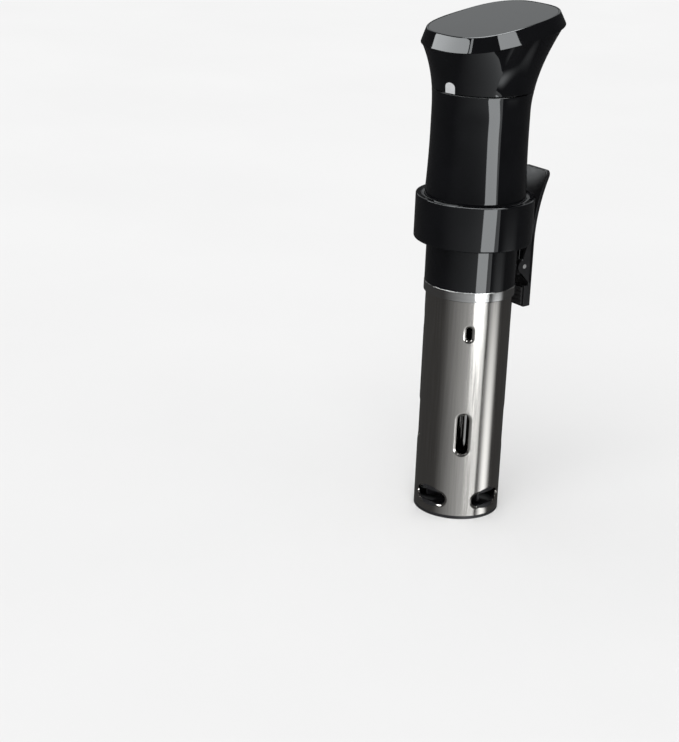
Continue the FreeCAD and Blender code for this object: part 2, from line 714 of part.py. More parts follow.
def seal_housing():
    body = joined([
        cylinder(SPIGOT_R, HOUSING_Z, SLEEVE_BOTTOM),
        cylinder(TRIM_IN_R - 0.1, SKIRT_TOP + 0.5, SLEEVE_BOTTOM),
        cylinder(SPIGOT_R, SLEEVE_BOTTOM, MOUNT_Z),
    ])
    bore = cylinder(HOUSING_BORE_R, HOUSING_FLOOR_TOP, MOUNT_Z + 1.0)
    seal_seat = cylinder(SEAL_R, HOUSING_Z - 1.0, HOUSING_FLOOR_TOP + 1.0)
    grooves = [
        Part.makeTorus(O_RING_SEAT_R, O_RING_R, Vector(0, 0, SKIRT_SEAL_Z)),
        Part.makeTorus(O_RING_SEAT_R, O_RING_R, Vector(0, 0, SLEEVE_SEAL_Z)),
    ]
    spot = polar(SCREW_RING_R, SCREW_FIRST)
    low_screw = cylinder(SCREW_R, HOUSING_Z - 1.0, HOUSING_Z + 8.0, spot.x, spot.y)
    high_screw = cylinder(SCREW_R, MOUNT_Z - 9.0, MOUNT_Z + 1.0, spot.x, spot.y)
    tools = [bore, seal_seat] + grooves
    tools += passing_holes(HOUSING_Z - 1.0, HOUSING_FLOOR_TOP + 1.0, False)
    tools += round_the_axis(low_screw, FLANGE_SCREWS) + round_the_axis(high_screw, FLANGE_SCREWS)
    for tool in tools:
        body = body.cut(tool)
    return body


def flat_o_ring(z):
    """Seal seated in its groove and squeezed just short of the wall outside it."""
    torus = Part.makeTorus(O_RING_SEAT_R, O_RING_R, Vector(0, 0, z))
    return torus.common(cylinder(SKIRT_IN_R - 0.08, z - 3.0, z + 3.0))


def screw(head_z, tip_z, x, y, head_high):
    """Cap screw along Z; the head stands beyond head_z on the side away from the tip."""
    down = tip_z < head_z
    head_end = head_z + head_high if down else head_z - head_high
    shank = cylinder(SCREW_R, min(head_z, tip_z), max(head_z, tip_z), x, y)
    head = cylinder(SCREW_HEAD_R, min(head_z, head_end), max(head_z, head_end), x, y)
    socket_low = head_end - 1.2 if down else head_end - 1.0
    socket = cylinder(SCREW_SOCKET_R, socket_low, socket_low + 2.2, x, y)
    return joined([shank, head]).cut(socket)


def flange_screws():
    spot = polar(SCREW_RING_R, SCREW_FIRST)
    one = screw(FLANGE_Z, HOUSING_Z + 7.5, spot.x, spot.y, 2.0)
    return Part.makeCompound(round_the_axis(one, FLANGE_SCREWS))


def frame_screws():
    spot = polar(SCREW_RING_R, SCREW_FIRST)
    one = screw(MOTOR_Z + 3.0, MOUNT_Z - 8.5, spot.x, spot.y, 2.0)
    return Part.makeCompound(round_the_axis(one, FLANGE_SCREWS))


def shaft_seal():
    body = ring(SEAL_R, SHAFT_R + SHAFT_FIT, HOUSING_Z, HOUSING_FLOOR_TOP)
    lip = ring(SEAL_LIP_R, SHAFT_R + SHAFT_FIT, HOUSING_FLOOR_TOP, HOUSING_FLOOR_TOP + 1.6)
    return joined([body, lip])


def heater_coil():
    """One tube bent into six upright legs round the shaft."""
    angles = heater_leg_angles()
    feet = [polar(HEATER_RING_R, angle) for angle in angles]
    bend_r = (feet[1] - feet[0]).Length / 2.0
    pieces = []
    for index, foot in enumerate(feet):
        is_end = index in (0, HEATER_LEGS - 1)
        top = HEATER_END_Z if is_end else HEATER_HIGH_Z
        pieces.append(cylinder(HEATER_TUBE_R, HEATER_LOW_Z, top, foot.x, foot.y))
    for index in range(HEATER_LEGS - 1):
        bottom_bend = index % 2 == 0
        height = HEATER_LOW_Z if bottom_bend else HEATER_HIGH_Z
        middle = (feet[index] + feet[index + 1]) * 0.5
        across = (feet[index + 1] - feet[index]).normalize()
        normal = across.cross(Vector(0, 0, 1))
        bend = Part.makeTorus(bend_r, HEATER_TUBE_R, Vector(middle.x, middle.y, height), normal)
        size = 4.0 * HEATER_RING_R
        base = height - size if bottom_bend else height
        half_space = Part.makeBox(size, size, size, Vector(-size / 2.0, -size / 2.0, base))
        pieces.append(bend.common(half_space))
    return joined(pieces)


def heater_terminals():
    pieces = []
    for angle in heater_end_angles():
        spot = polar(HEATER_RING_R, angle)
        bead = cylinder(HEATER_TUBE_R - 0.3, HEATER_END_Z, HEATER_END_Z + 2.6, spot.x, spot.y)
        stud = cylinder(1.0, HEATER_END_Z + 2.6, HEATER_END_Z + 6.0, spot.x, spot.y)
        pieces.append(joined([bead, stud]))
    return Part.makeCompound(pieces)


def lead_angle(end_angle):
    on_right = math.cos(math.radians(end_angle)) > 0
    return end_angle + LEAD_SPREAD if on_right else end_angle - LEAD_SPREAD


def heater_lead_route(end_angle):
    """From a heater end, past the motor and the fan, to the foot of the power board."""
    angle = lead_angle(end_angle)
    start = polar(HEATER_RING_R, end_angle, HEATER_END_Z + 6.0)
    knee = polar(HEATER_RING_R, end_angle, HEATER_END_Z + 8.0)
    shoulder = polar(LEAD_NEAR_R, angle, MOUNT_Z - 3.0)
    beside_motor = polar(LEAD_NEAR_R, angle, MOTOR_TOP - 1.0)
    below_fan = polar(LEAD_FAR_R, angle, FAN_Z - 2.0)
    above_fan = polar(LEAD_FAR_R, angle, FAN_Z + 12.0)
    side = math.copysign(BOARD_HALF_X - 3.0, above_fan.x)
    board_foot = Vector(side, POWER_BOARD_Y + BOARD_THICK / 2.0, BOARD_Z - 2.5)
    end = Vector(board_foot.x, board_foot.y, BOARD_Z)
    return [start, knee, shoulder, beside_motor, below_fan, above_fan, board_foot, end]


def heater_leads():
    routes = [heater_lead_route(angle) for angle in heater_end_angles()]
    return Part.makeCompound([pipe(LEAD_R, route) for route in routes])


def lead_holes(z_low, z_high):
    spots = [polar(LEAD_NEAR_R, lead_angle(angle)) for angle in heater_end_angles()]
    return [cylinder(LEAD_R + 1.4, z_low, z_high, spot.x, spot.y) for spot in spots]


def temp_probe():
    spot = polar(PROBE_RING_R, PROBE_ANGLE)
    body = cylinder(PROBE_R, PROBE_LOW, HOUSING_FLOOR_TOP + 3.0, spot.x, spot.y)
    return joined([body, Part.makeSphere(PROBE_R, Vector(spot.x, spot.y, PROBE_LOW))])


def level_sensors():
    rods = []
    for index, angle in enumerate(LEVEL_ANGLES):
        spot = polar(PROBE_RING_R, angle)
        low = LEVEL_LOW + LEVEL_STEP * index
        rods.append(cylinder(LEVEL_R, low, HOUSING_FLOOR_TOP + 3.0, spot.x, spot.y))
    return Part.makeCompound(rods)


# ---------------------------------------------------------------- skirt and end cap
def slot_tool(radius, z_low, z_high):
    """Upright slot with round ends, cut outwards along +X."""
    low = Part.makeCylinder(radius, 20.0, Vector(20.0, 0, z_low + radius), Vector(1, 0, 0))
    high = Part.makeCylinder(radius, 20.0, Vector(20.0, 0, z_high - radius), Vector(1, 0, 0))
    middle = block(20.0, 40.0, -radius, radius, z_low + radius, z_high - radius)
    return joined([low, high, middle])


def window_tool():
    """Wide low window with round ends, cut outwards along +X."""
    radius = (WINDOW_HIGH - WINDOW_LOW) / 2.0
    middle_z = (WINDOW_HIGH + WINDOW_LOW) / 2.0
    straight = WINDOW_HALF_X - radius
    ends = []
    for y in (-straight, straight):
        ends.append(Part.makeCylinder(radius, 25.0, Vector(15.0, y, middle_z), Vector(1, 0, 0)))
    return joined(ends + [block(15.0, 40.0, -straight, straight, WINDOW_LOW, WINDOW_HIGH)])


def skirt():
    tube = ring(SKIRT_R, SKIRT_IN_R, SKIRT_BOTTOM, SKIRT_TOP)
    tools = round_the_axis(slot_tool(SLOT_R, SLOT_LOW - SLOT_R, SLOT_HIGH + SLOT_R),
                           SLOT_COUNT, FEATURE_FIRST)
    tools += round_the_axis(window_tool(), WINDOW_COUNT, WINDOW_FIRST)
    tools += round_the_axis(slot_tool(VENT_R, VENT_LOW - VENT_R, VENT_HIGH + VENT_R),
                            SLOT_COUNT, FEATURE_FIRST)
    for tool in tools:
        tube = tube.cut(tool)
    return tube


def end_cap():
    floor = cylinder(SKIRT_R, 0.0, SKIRT_BOTTOM)
    plug = cylinder(CAP_CUP_R, 0.0, CAP_FLOOR)
    wall = ring(CAP_CUP_R, CAP_CUP_IN_R, 0.0, CAP_CUP_TOP)
    boss = cylinder(CAP_BOSS_R, 0.0, BEARING_TOP)
    rib = block(CAP_BOSS_R - 1.0, CAP_CUP_IN_R + 0.5, -CAP_RIB_HALF, CAP_RIB_HALF, 0.0, 6.4)
    ribs = round_the_axis(rib, CAP_RIBS, 30.0)
    body = joined([floor, plug, wall, boss] + ribs)
    tools = round_the_axis(window_tool(), WINDOW_COUNT, WINDOW_FIRST)
    tools.append(cylinder(BEARING_R, CAP_FLOOR, BEARING_TOP + 1.0))
    for tool in tools:
        body = body.cut(tool)
    return body


def lower_bearing():
    return ring(BEARING_R, SHAFT_R + SHAFT_FIT, CAP_FLOOR, BEARING_TOP)


# ---------------------------------------------------------------- turning pieces
def impeller():
    hub = ring(IMPELLER_HUB_R, SHAFT_R, IMPELLER_LOW, IMPELLER_HIGH + 3.0)
    disc = ring(IMPELLER_R, SHAFT_R, IMPELLER_HIGH - 1.6, IMPELLER_HIGH)
    blade = block(IMPELLER_HUB_R - 0.6, IMPELLER_R - 0.6, -BLADE_HALF, BLADE_HALF,
                  IMPELLER_LOW, IMPELLER_HIGH - 1.0)
    return joined([hub, disc] + round_the_axis(blade, BLADE_COUNT))


def drive_shaft():
    return cylinder(SHAFT_R, CAP_FLOOR + 0.6, SHAFT_TOP)


def motor_shaft():
    return cylinder(MOTOR_SHAFT_R, SHAFT_TOP, FAN_Z + 11.0)


def shaft_coupling():
    body = cylinder(COUPLING_R, COUPLING_LOW, COUPLING_HIGH)
    tools = [cylinder(SHAFT_R, COUPLING_LOW - 1.0, SHAFT_TOP),
             cylinder(MOTOR_SHAFT_R, SHAFT_TOP - 0.1, COUPLING_HIGH + 1.0)]
    for z in (COUPLING_LOW + SET_SCREW_INSET, COUPLING_HIGH - SET_SCREW_INSET):
        tools.append(rod_x(SET_SCREW_R, 0.0, COUPLING_R + 2.5, 0.0, z))
    for tool in tools:
        body = body.cut(tool)
    return body


def set_screws():
    low_z, high_z = COUPLING_LOW + SET_SCREW_INSET, COUPLING_HIGH - SET_SCREW_INSET
    low = rod_x(SET_SCREW_R, SHAFT_R + 0.2, SHAFT_R + 3.8, 0.0, low_z)
    high = rod_x(SET_SCREW_R, MOTOR_SHAFT_R + 0.6, MOTOR_SHAFT_R + 4.8, 0.0, high_z)
    return Part.makeCompound([low, high])


def motor_rotor():
    return ring(ROTOR_R, MOTOR_SHAFT_R, MOTOR_Z + 5.0, MOTOR_TOP - 5.0)


def cooling_fan():
    hub = ring(FAN_HUB_R, MOTOR_SHAFT_R, FAN_Z, FAN_Z + FAN_TALL)
    blade = block(-0.7, 0.7, FAN_HUB_R - 0.8, FAN_R, -4.6, 4.6)
    blade.rotate(Vector(0, 0, 0), Vector(0, 1, 0), FAN_PITCH)
    blade.translate(Vector(0, 0, FAN_Z + FAN_TALL / 2.0))
    return joined([hub] + round_the_axis(blade, BLADE_COUNT))


# ---------------------------------------------------------------- motor and frame
def motor_can():
    shell = ring(MOTOR_R, MOTOR_R - 1.0, MOTOR_Z, MOTOR_TOP)
    floor = cylinder(MOTOR_R, MOTOR_Z, MOTOR_Z + 2.0)
    bearing_boss = cylinder(5.0, MOTOR_Z, MOTOR_Z + 4.0)
    body = joined([shell, floor, bearing_boss])
    body = body.cut(cylinder(MOTOR_SHAFT_R + SHAFT_FIT, MOTOR_Z - 1.0, MOTOR_Z + 5.0))
    for x in (-MOTOR_SCREW_X, MOTOR_SCREW_X):
        body = body.cut(cylinder(SCREW_R, MOTOR_Z - 1.0, MOTOR_Z + 3.0, x))
    return body


def motor_end_cap():
    body = joined([cylinder(MOTOR_R, MOTOR_TOP, MOTOR_TOP + 2.4),
                   cylinder(6.0, MOTOR_TOP - 3.0, MOTOR_TOP + 4.4)])
    body = body.cut(cylinder(MOTOR_SHAFT_R + SHAFT_FIT, MOTOR_TOP - 4.0, MOTOR_TOP + 5.0))
    vent = block(9.0, 15.0, -1.6, 1.6, MOTOR_TOP - 1.0, MOTOR_TOP + 3.0)
    return without(body, round_the_axis(vent, MOTOR_VENTS))


def motor_stator():
    core = ring(MOTOR_R - 1.0, STATOR_IN_R, MOTOR_Z + 6.0, MOTOR_TOP - 6.0)
    slot = block(11.0, 15.6, -2.0, 2.0, MOTOR_Z, MOTOR_TOP)
    return without(core, round_the_axis(slot, MOTOR_VENTS))


def motor_mount():
    plate = cylinder(SPIGOT_R, MOUNT_Z, MOTOR_Z)
    spot = polar(SCREW_RING_R, SCREW_FIRST)
    tools = round_the_axis(cylinder(SCREW_R, MOUNT_Z - 1.0, MOTOR_Z + 1.0, spot.x, spot.y),
                           FLANGE_SCREWS)
    tools.append(cylinder(6.0, MOUNT_Z - 1.0, MOTOR_Z + 1.0))
    for x in (-MOTOR_SCREW_X, MOTOR_SCREW_X):
        tools.append(cylinder(SCREW_R, MOUNT_Z - 1.0, MOTOR_Z + 1.0, x))
    tools += lead_holes(MOUNT_Z - 1.0, MOTOR_Z + 1.0)
    for tool in tools:
        plate = plate.cut(tool)
    return plate


def motor_screws():
    places = (-MOTOR_SCREW_X, MOTOR_SCREW_X)
    return Part.makeCompound([screw(MOUNT_Z, MOTOR_Z + 2.0, x, 0.0, 1.6) for x in places])


def inner_frame():
    """Cage on the motor mount: a foot ring, two side rails and three cross bars."""
    foot = ring(SPIGOT_R - 0.2, MOTOR_R + 0.6, MOTOR_Z, MOTOR_Z + 3.0)
    pieces = [foot]
    for side in (-1, 1):
        x_low, x_high = sorted((side * RAIL_IN_X, side * RAIL_OUT_X))
        pieces.append(block(x_low, x_high, -RAIL_HALF_Y, RAIL_HALF_Y, MOTOR_Z, RAIL_TOP))
    for z in (FAN_Z + 13.0, BOARD_Z + BOARD_HEIGHT + 2.0, RAIL_TOP - 3.0):
        pieces.append(block(-RAIL_IN_X - 0.5, RAIL_IN_X + 0.5, -3.0, 3.0, z, z + 3.0))
    body = joined(pieces)
    spot = polar(SCREW_RING_R, SCREW_FIRST)
    tools = round_the_axis(cylinder(SCREW_R, MOTOR_Z - 1.0, MOTOR_Z + 4.0, spot.x, spot.y),
                           FLANGE_SCREWS)
    tools += lead_holes(MOTOR_Z - 1.0, MOTOR_Z + 4.0)
    for tool in tools:
        body = body.cut(tool)
    return body


# ---------------------------------------------------------------- electronics
def board(y, z_low, height):
    return block(-BOARD_HALF_X, BOARD_HALF_X, y, y + BOARD_THICK, z_low, z_low + height)


def power_board():
    return board(POWER_BOARD_Y, BOARD_Z, BOARD_HEIGHT)


def heat_sink():
    face_y = POWER_BOARD_Y + BOARD_THICK
    base = block(-SINK_HALF_X, SINK_HALF_X, face_y + 1.0, face_y + 3.0, SINK_LOW, SINK_HIGH)
    foot = block(-5.0, 5.0, face_y, face_y + 1.0, SINK_LOW + 12.0, SINK_HIGH - 12.0)
    spacing = (2.0 * SINK_HALF_X - FIN_THICK) / (FIN_COUNT - 1)
    fins = []
    for index in range(FIN_COUNT):
        x = index * spacing - SINK_HALF_X
        fins.append(block(x, x + FIN_THICK, face_y + 3.0, face_y + 9.5, SINK_LOW, SINK_HIGH))
    return joined([base, foot] + fins)


def capacitors():
    cans = []
    for side, z in ((1, BOARD_Z + 10.0), (-1, BOARD_Z + 24.0)):
        cans.append(rod_y(CAPACITOR_R, POWER_BOARD_Y - 11.0, POWER_BOARD_Y, side * CAPACITOR_X, z))
    return Part.makeCompound(cans)


def relay():
    return block(-10.0, 10.0, POWER_BOARD_Y - 10.0, POWER_BOARD_Y, BOARD_Z + 38.0, BOARD_Z + 52.0)


def control_board():
    plate = board(CONTROL_BOARD_Y, BOARD_Z, BOARD_HEIGHT)
    back_y = CONTROL_BOARD_Y + BOARD_THICK
    chip = block(-7.0, 7.0, back_y, back_y + 1.4, BOARD_Z + 26.0, BOARD_Z + 40.0)
    socket = block(-12.0, 12.0, back_y, back_y + 4.0, BOARD_Z + 54.0, BOARD_Z + 60.0)
    return joined([plate, chip, socket])


# ---------------------------------------------------------------- all pieces
PIECES = [
    head_shell, indicator_lens, rim_bezel, touch_panel, panel_gasket, display_module,
    touch_board, buzzer, cord_gland, column_shell, sleeve_front, sleeve_rear, trim_ring,
    clamp_collar, collar_liner, clamp_lever, jaw_pad, hinge_pin, lever_spring, wall_stop_pad,
    heater_flange, flange_gasket, seal_housing, flange_screws, frame_screws, shaft_seal,
    heater_coil, heater_terminals, heater_leads, temp_probe, level_sensors, skirt, end_cap,
    lower_bearing, impeller, drive_shaft, motor_shaft, shaft_coupling, set_screws,
    motor_rotor, cooling_fan, motor_can, motor_end_cap, motor_stator, motor_mount,
    motor_screws, inner_frame, power_board, heat_sink, capacitors, relay, control_board,
]

for piece in PIECES:
    save(piece.__name__, piece())
save("skirt_seal", flat_o_ring(SKIRT_SEAL_Z))
save("sleeve_seal", flat_o_ring(SLEEVE_SEAL_Z))
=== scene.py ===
import json
import math
import bpy
from mathutils import Vector, Matrix
from mathutils.geometry import delaunay_2d_cdt


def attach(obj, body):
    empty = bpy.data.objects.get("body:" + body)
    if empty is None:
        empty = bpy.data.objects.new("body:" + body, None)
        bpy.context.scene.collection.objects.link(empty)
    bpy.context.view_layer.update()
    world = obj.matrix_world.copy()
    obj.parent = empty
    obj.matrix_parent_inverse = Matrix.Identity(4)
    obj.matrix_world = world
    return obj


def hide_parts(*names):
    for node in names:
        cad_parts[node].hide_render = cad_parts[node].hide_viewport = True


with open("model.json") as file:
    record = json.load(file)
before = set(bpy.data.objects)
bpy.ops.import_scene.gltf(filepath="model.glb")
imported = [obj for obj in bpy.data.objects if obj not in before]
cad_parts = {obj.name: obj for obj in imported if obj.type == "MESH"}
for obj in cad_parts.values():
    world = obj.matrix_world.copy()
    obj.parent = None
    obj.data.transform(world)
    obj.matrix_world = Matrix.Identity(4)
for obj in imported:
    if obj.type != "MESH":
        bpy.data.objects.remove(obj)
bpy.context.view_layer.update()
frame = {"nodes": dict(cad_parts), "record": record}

# Sous vide circulator. Shapes are worked out in millimetres and stored in metres.
MM = 0.001
NODES = frame["nodes"]

# ---------------------------------------------------------------- the CAD's sizes
COLLAR_TOP = 222.0
SEAM_Z = 292.0
SEAM_GAP = 0.5
WAIST_Z = 267.0
FLARE_START_Z = 278.0
RIM_Z = 326.5
FACE_Z = 335.9
COLUMN_BOTTOM = 190.5
WALL = 2.2
COLUMN_R = 33.7
WAIST_R = 32.2
TILT = 10.3
RIM_HALF = (38.9, 47.2)
RIM_CENTRE_Y = 6.6
RIM_EXPONENT = 2.55
FACE_HALF = (34.4, 42.5)
FACE_CENTRE_Y = 5.8
FACE_EXPONENT = 2.8
RIM_OVERHANG = 0.8
FLARE_POWER = 2.1
CREASE_AT_SEAM = 61.0
CREASE_AT_RIM = 68.0
CREASE_SPAN = 85.0
CREASE_DEPTH = 3.2
PANEL_EDGE = 0.9
PANEL_THICK = 2.2
PANEL_SUNK = 0.2
SKIRT_R = 29.2
SKIRT_IN_R = 28.4
SKIRT_TOP = 157.6
SKIRT_BOTTOM = 2.2
RIM_RISE = (FACE_Z - RIM_Z) * math.cos(math.radians(TILT))
LENS_ANGLE = 10.0                     # degrees from the front towards +X
LENS_HALF_WIDE = 3.7
LENS_TALL = 8.6
RING_IN_R = 29.5
RING_OUT_R = 30.8
RING_LOW_Z = 155.8
RING_HIGH_Z = 162.5
COLLAR_R = 39.5
COLLAR_IN_R = 35.9
COLLAR_BOTTOM = 192.0
COLLAR_FLAT_Y = 37.2
PIVOT_Y = 37.0
PIVOT_Z = 170.0
LEVER_HALF_X = 13.0
LEVER_OUT_Y = 44.7
LEVER_IN_Y = 41.7
LEVER_BEND_Z = 185.0
LEVER_BEND_R = 113.0
LEVER_TOP_Z = 234.0
LEVER_BOTTOM_Z = 141.0
PADDLE_CORNER = 4.0
EYE_R = 5.4
CHEEK_THICK = 2.6
JAW_IN_Y = 38.4
JAW_OUT_Y = 42.7
JAW_HEIGHT = 15.0
BRACKET_HALF_X = 10.0
BRACKET_IN_X = 5.6
BRACKET_BACK_Y = 34.4
BRACKET_BOSS_R = 4.0

# ---------------------------------------------------------------- the skirt's openings
FEATURE_FIRST = 52.0                  # degrees from the front to the first slot
SLOT = (62.0, 4.4, 14.4)              # height of the middle, half width, half height
VENT = (133.5, 2.2, 4.7)
WINDOW = (13.0, 13.5, 4.5)
HOLE_STEPS = (0.0, 0.3, 0.6, 0.95, 1.4, 2.0)
HOLE_POINTS = 40
ROLL_DEPTH = 0.85                     # how far a hole's rolled edge goes in
END_ROLL = 0.35
SKIRT_START = 38.45                   # where the unrolled sheet's two ends meet, clear of every hole
SKIRT_COLUMNS = 120
SKIRT_ROWS = 64
AROUND = 2.0 * math.pi * SKIRT_R

# ---------------------------------------------------------------- mesh detail
HEAD_FRONT = 56                       # points from one crease round the front to the other
HEAD_REAR = 136
RIM_SIZE = 224
COLUMN_SIZE = 192
COLLAR_SIZE = 240
BEND_STEPS = 14

# ---------------------------------------------------------------- light
WORLD_LEVEL = 0.92
SUN_LEVEL = 0.9
SUN_ANGLE = 50.0
SUN_TURN = (32.0, 24.0)
DOME_LEVEL = 0.05
DOME_R = 8.0
CEILING_LEVEL = 10.0
CEILING_HALF = 0.9
CEILING_Z = 1.8
FLOOR_HALF = 30.0
GLOW_TINT = (0.95, 0.985, 1.0, 1.0)
STREAKS = (((-74.0, -62.0), 1.3), ((-34.0, -27.0), 0.4), ((122.0, 129.0), 0.9), ((150.0, 162.0), 0.7),
           ((200.0, 212.0), 1.6), ((-138.0, -118.0), 1.5), ((-100.0, -94.0), 0.8))

# ---------------------------------------------------------------- camera
CAMERA_AT = (0.8670, -0.7772, 0.5063)
CAMERA_YAW = 52.31
CAMERA_PITCH = 19.55
CAMERA_ROLL = 2.34
CAMERA_LENS = 87.33


def make_camera():
    yaw, pitch, roll = (math.radians(a) for a in (CAMERA_YAW, CAMERA_PITCH, CAMERA_ROLL))
    ahead = Vector((-math.sin(yaw) * math.cos(pitch), math.cos(yaw) * math.cos(pitch), -math.sin(pitch)))
    right = Vector((math.cos(yaw), math.sin(yaw), 0.0))
    above = right.cross(ahead)
    right_rolled = right * math.cos(roll) + above * math.sin(roll)
    above_rolled = above * math.cos(roll) - right * math.sin(roll)
    data = bpy.data.cameras.new("camera")
    data.lens = CAMERA_LENS
    data.sensor_width = 36.0
    data.clip_end = 100.0
    camera = bpy.data.objects.new("camera", data)
    bpy.context.scene.collection.objects.link(camera)
    turn = Matrix((right_rolled, above_rolled, -ahead)).transposed().to_4x4()
    camera.matrix_world = Matrix.Translation(CAMERA_AT) @ turn
    bpy.context.scene.camera = camera


# ---------------------------------------------------------------- materials
def surface(name, colours, rough, metallic=0.0, scale=300.0, stretch=(1.0, 1.0, 1.0),
            bump=0.0, bump_scale=2500.0, specular=0.5):
    """Noise picks the base colour between two tones and the roughness between two values."""
    material = bpy.data.materials.new(name)
    material.use_nodes = True
    tree = material.node_tree
    shader = tree.nodes["Principled BSDF"]
    shader.inputs["Metallic"].default_value = metallic
    shader.inputs["Specular IOR Level"].default_value = specular
    place = tree.nodes.new("ShaderNodeTexCoord")
    mapping = tree.nodes.new("ShaderNodeMapping")
    mapping.inputs["Scale"].default_value = stretch
    tree.links.new(place.outputs["Object"], mapping.inputs["Vector"])
    noise = tree.nodes.new("ShaderNodeTexNoise")
    noise.inputs["Scale"].default_value = scale
    noise.inputs["Detail"].default_value = 4.0
    tree.links.new(mapping.outputs["Vector"], noise.inputs["Vector"])
    ramp = tree.nodes.new("ShaderNodeValToRGB")
    ramp.color_ramp.elements[0].position = 0.35
    ramp.color_ramp.elements[1].position = 0.65
    ramp.color_ramp.elements[0].color = (*colours[0], 1.0)
    ramp.color_ramp.elements[1].color = (*colours[1], 1.0)
    tree.links.new(noise.outputs["Fac"], ramp.inputs["Fac"])
    tree.links.new(ramp.outputs["Color"], shader.inputs["Base Color"])
    spread = tree.nodes.new("ShaderNodeMapRange")
    spread.inputs["From Min"].default_value = 0.3
    spread.inputs["From Max"].default_value = 0.7
    spread.inputs["To Min"].default_value = rough[0]
    spread.inputs["To Max"].default_value = rough[1]
    tree.links.new(noise.outputs["Fac"], spread.inputs["Value"])
    tree.links.new(spread.outputs["Result"], shader.inputs["Roughness"])
    if bump:
        grain = tree.nodes.new("ShaderNodeTexNoise")
        grain.inputs["Scale"].default_value = bump_scale
        tree.links.new(mapping.outputs["Vector"], grain.inputs["Vector"])
        relief = tree.nodes.new("ShaderNodeBump")
        relief.inputs["Strength"].default_value = bump
        relief.inputs["Distance"].default_value = 0.0001
        tree.links.new(grain.outputs["Fac"], relief.inputs["Height"])
        tree.links.new(relief.outputs["Normal"], shader.inputs["Normal"])
    return material


def tones(colour, spread=0.12):
    return [tuple(c * (1.0 - spread) for c in colour), tuple(c * (1.0 + spread) for c in colour)]


def make_materials():
    made = {}
    made["gloss_black"] = surface("gloss_black", tones((0.004, 0.0042, 0.005)), (0.025, 0.045), scale=60.0)
    made["panel_black"] = surface("panel_black", tones((0.006, 0.0065, 0.007)), (0.05, 0.07), scale=25.0)
    made["lever_black"] = surface("lever_black", tones((0.012, 0.012, 0.013)), (0.22, 0.28), scale=200.0,
                                  bump=0.12, bump_scale=3000.0, specular=0.22)
    made["cap_black"] = surface("cap_black", tones((0.018, 0.018, 0.02)), (0.32, 0.42), scale=200.0,
                                bump=0.15, bump_scale=2600.0)
    made["lens_grey"] = surface("lens_grey", tones((0.55, 0.56, 0.57), 0.04), (0.18, 0.26), scale=300.0)
    made["dark_rubber"] = surface("dark_rubber", tones((0.022, 0.022, 0.023)), (0.6, 0.75), scale=500.0,
                                  bump=0.2, bump_scale=2500.0)
    made["skirt_steel"] = surface("skirt_steel", tones((0.63, 0.60, 0.57), 0.05), (0.13, 0.21), 1.0,
                                  scale=900.0, stretch=(1.0, 1.0, 0.03), bump=0.03, bump_scale=1500.0)
    made["polished_steel"] = surface("polished_steel", tones((0.66, 0.65, 0.64), 0.04), (0.1, 0.15), 1.0,
                                     scale=700.0, stretch=(0.1, 0.1, 1.0))
    made["zinc_steel"] = surface("zinc_steel", tones((0.55, 0.55, 0.54), 0.08), (0.25, 0.38), 1.0,
                                 scale=700.0)
    made["motor_steel"] = surface("motor_steel", tones((0.3, 0.3, 0.31), 0.08), (0.3, 0.4), 0.8, scale=400.0)
    made["light_alloy"] = surface("light_alloy", tones((0.75, 0.75, 0.76), 0.05), (0.3, 0.42), 1.0,
                                  scale=800.0, stretch=(1.0, 1.0, 0.05))
    made["bearing_brass"] = surface("bearing_brass", tones((0.7, 0.52, 0.24), 0.07), (0.25, 0.35), 1.0,
                                    scale=600.0)
    made["frame_nylon"] = surface("frame_nylon", tones((0.75, 0.74, 0.7), 0.03), (0.45, 0.55), scale=300.0)
    made["board_green"] = surface("board_green", tones((0.02, 0.16, 0.07), 0.15), (0.3, 0.4), scale=350.0)
    made["part_black"] = surface("part_black", tones((0.03, 0.03, 0.035)), (0.25, 0.35), scale=300.0)
    made["terminal_ceramic"] = surface("terminal_ceramic", tones((0.85, 0.83, 0.78), 0.03), (0.15, 0.25),
                                       scale=250.0)
    return made


def dress_nodes():
    """Every CAD node takes the finish of its slot in the record."""
    for entry in frame["record"]["subparts"]:
        slots = NODES[entry["node"]].data.materials
        finish = MATERIALS[entry["material_slot"]]
        if len(slots):
            for index in range(len(slots)):
                slots[index] = finish
        else:
            slots.append(finish)


# ---------------------------------------------------------------- mesh helpers
def add_piece(name, points, faces, slot, body, replaced=(), sharp_angle=40.0, creases=(), weighted=True):
    """A piece from millimetre points; creases lists pairs of point numbers to keep sharp."""
    mesh = bpy.data.meshes.new(name)
    mesh.from_pydata([tuple(c * MM for c in p) for p in points], [], faces)
    mesh.validate()
    mesh.shade_smooth()
    mesh.set_sharp_from_angle(angle=math.radians(sharp_angle))
    if creases:
        wanted = {tuple(sorted(pair)) for pair in creases}
        for edge in mesh.edges:
            if tuple(sorted(edge.vertices)) in wanted:
                edge.use_edge_sharp = True
    mesh.materials.append(MATERIALS[slot])
    obj = bpy.data.objects.new(name, mesh)
    bpy.context.scene.collection.objects.link(obj)
    if weighted:
        flatten = obj.modifiers.new("flat_faces", "WEIGHTED_NORMAL")
        flatten.keep_sharp = True
    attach(obj, body)
    if replaced:
        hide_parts(*replaced)
    return obj


def ring_faces(ring_count, size, closed):
    """Quads between rings of equal size, outward when the rings climb and turn to the left."""
    faces = []
    last = ring_count if closed else ring_count - 1
    for row in range(last):
        below, above = row * size, ((row + 1) % ring_count) * size
        for index in range(size):
            after = (index + 1) % size
            faces.append((below + index, below + after, above + after, above + index))
    return faces


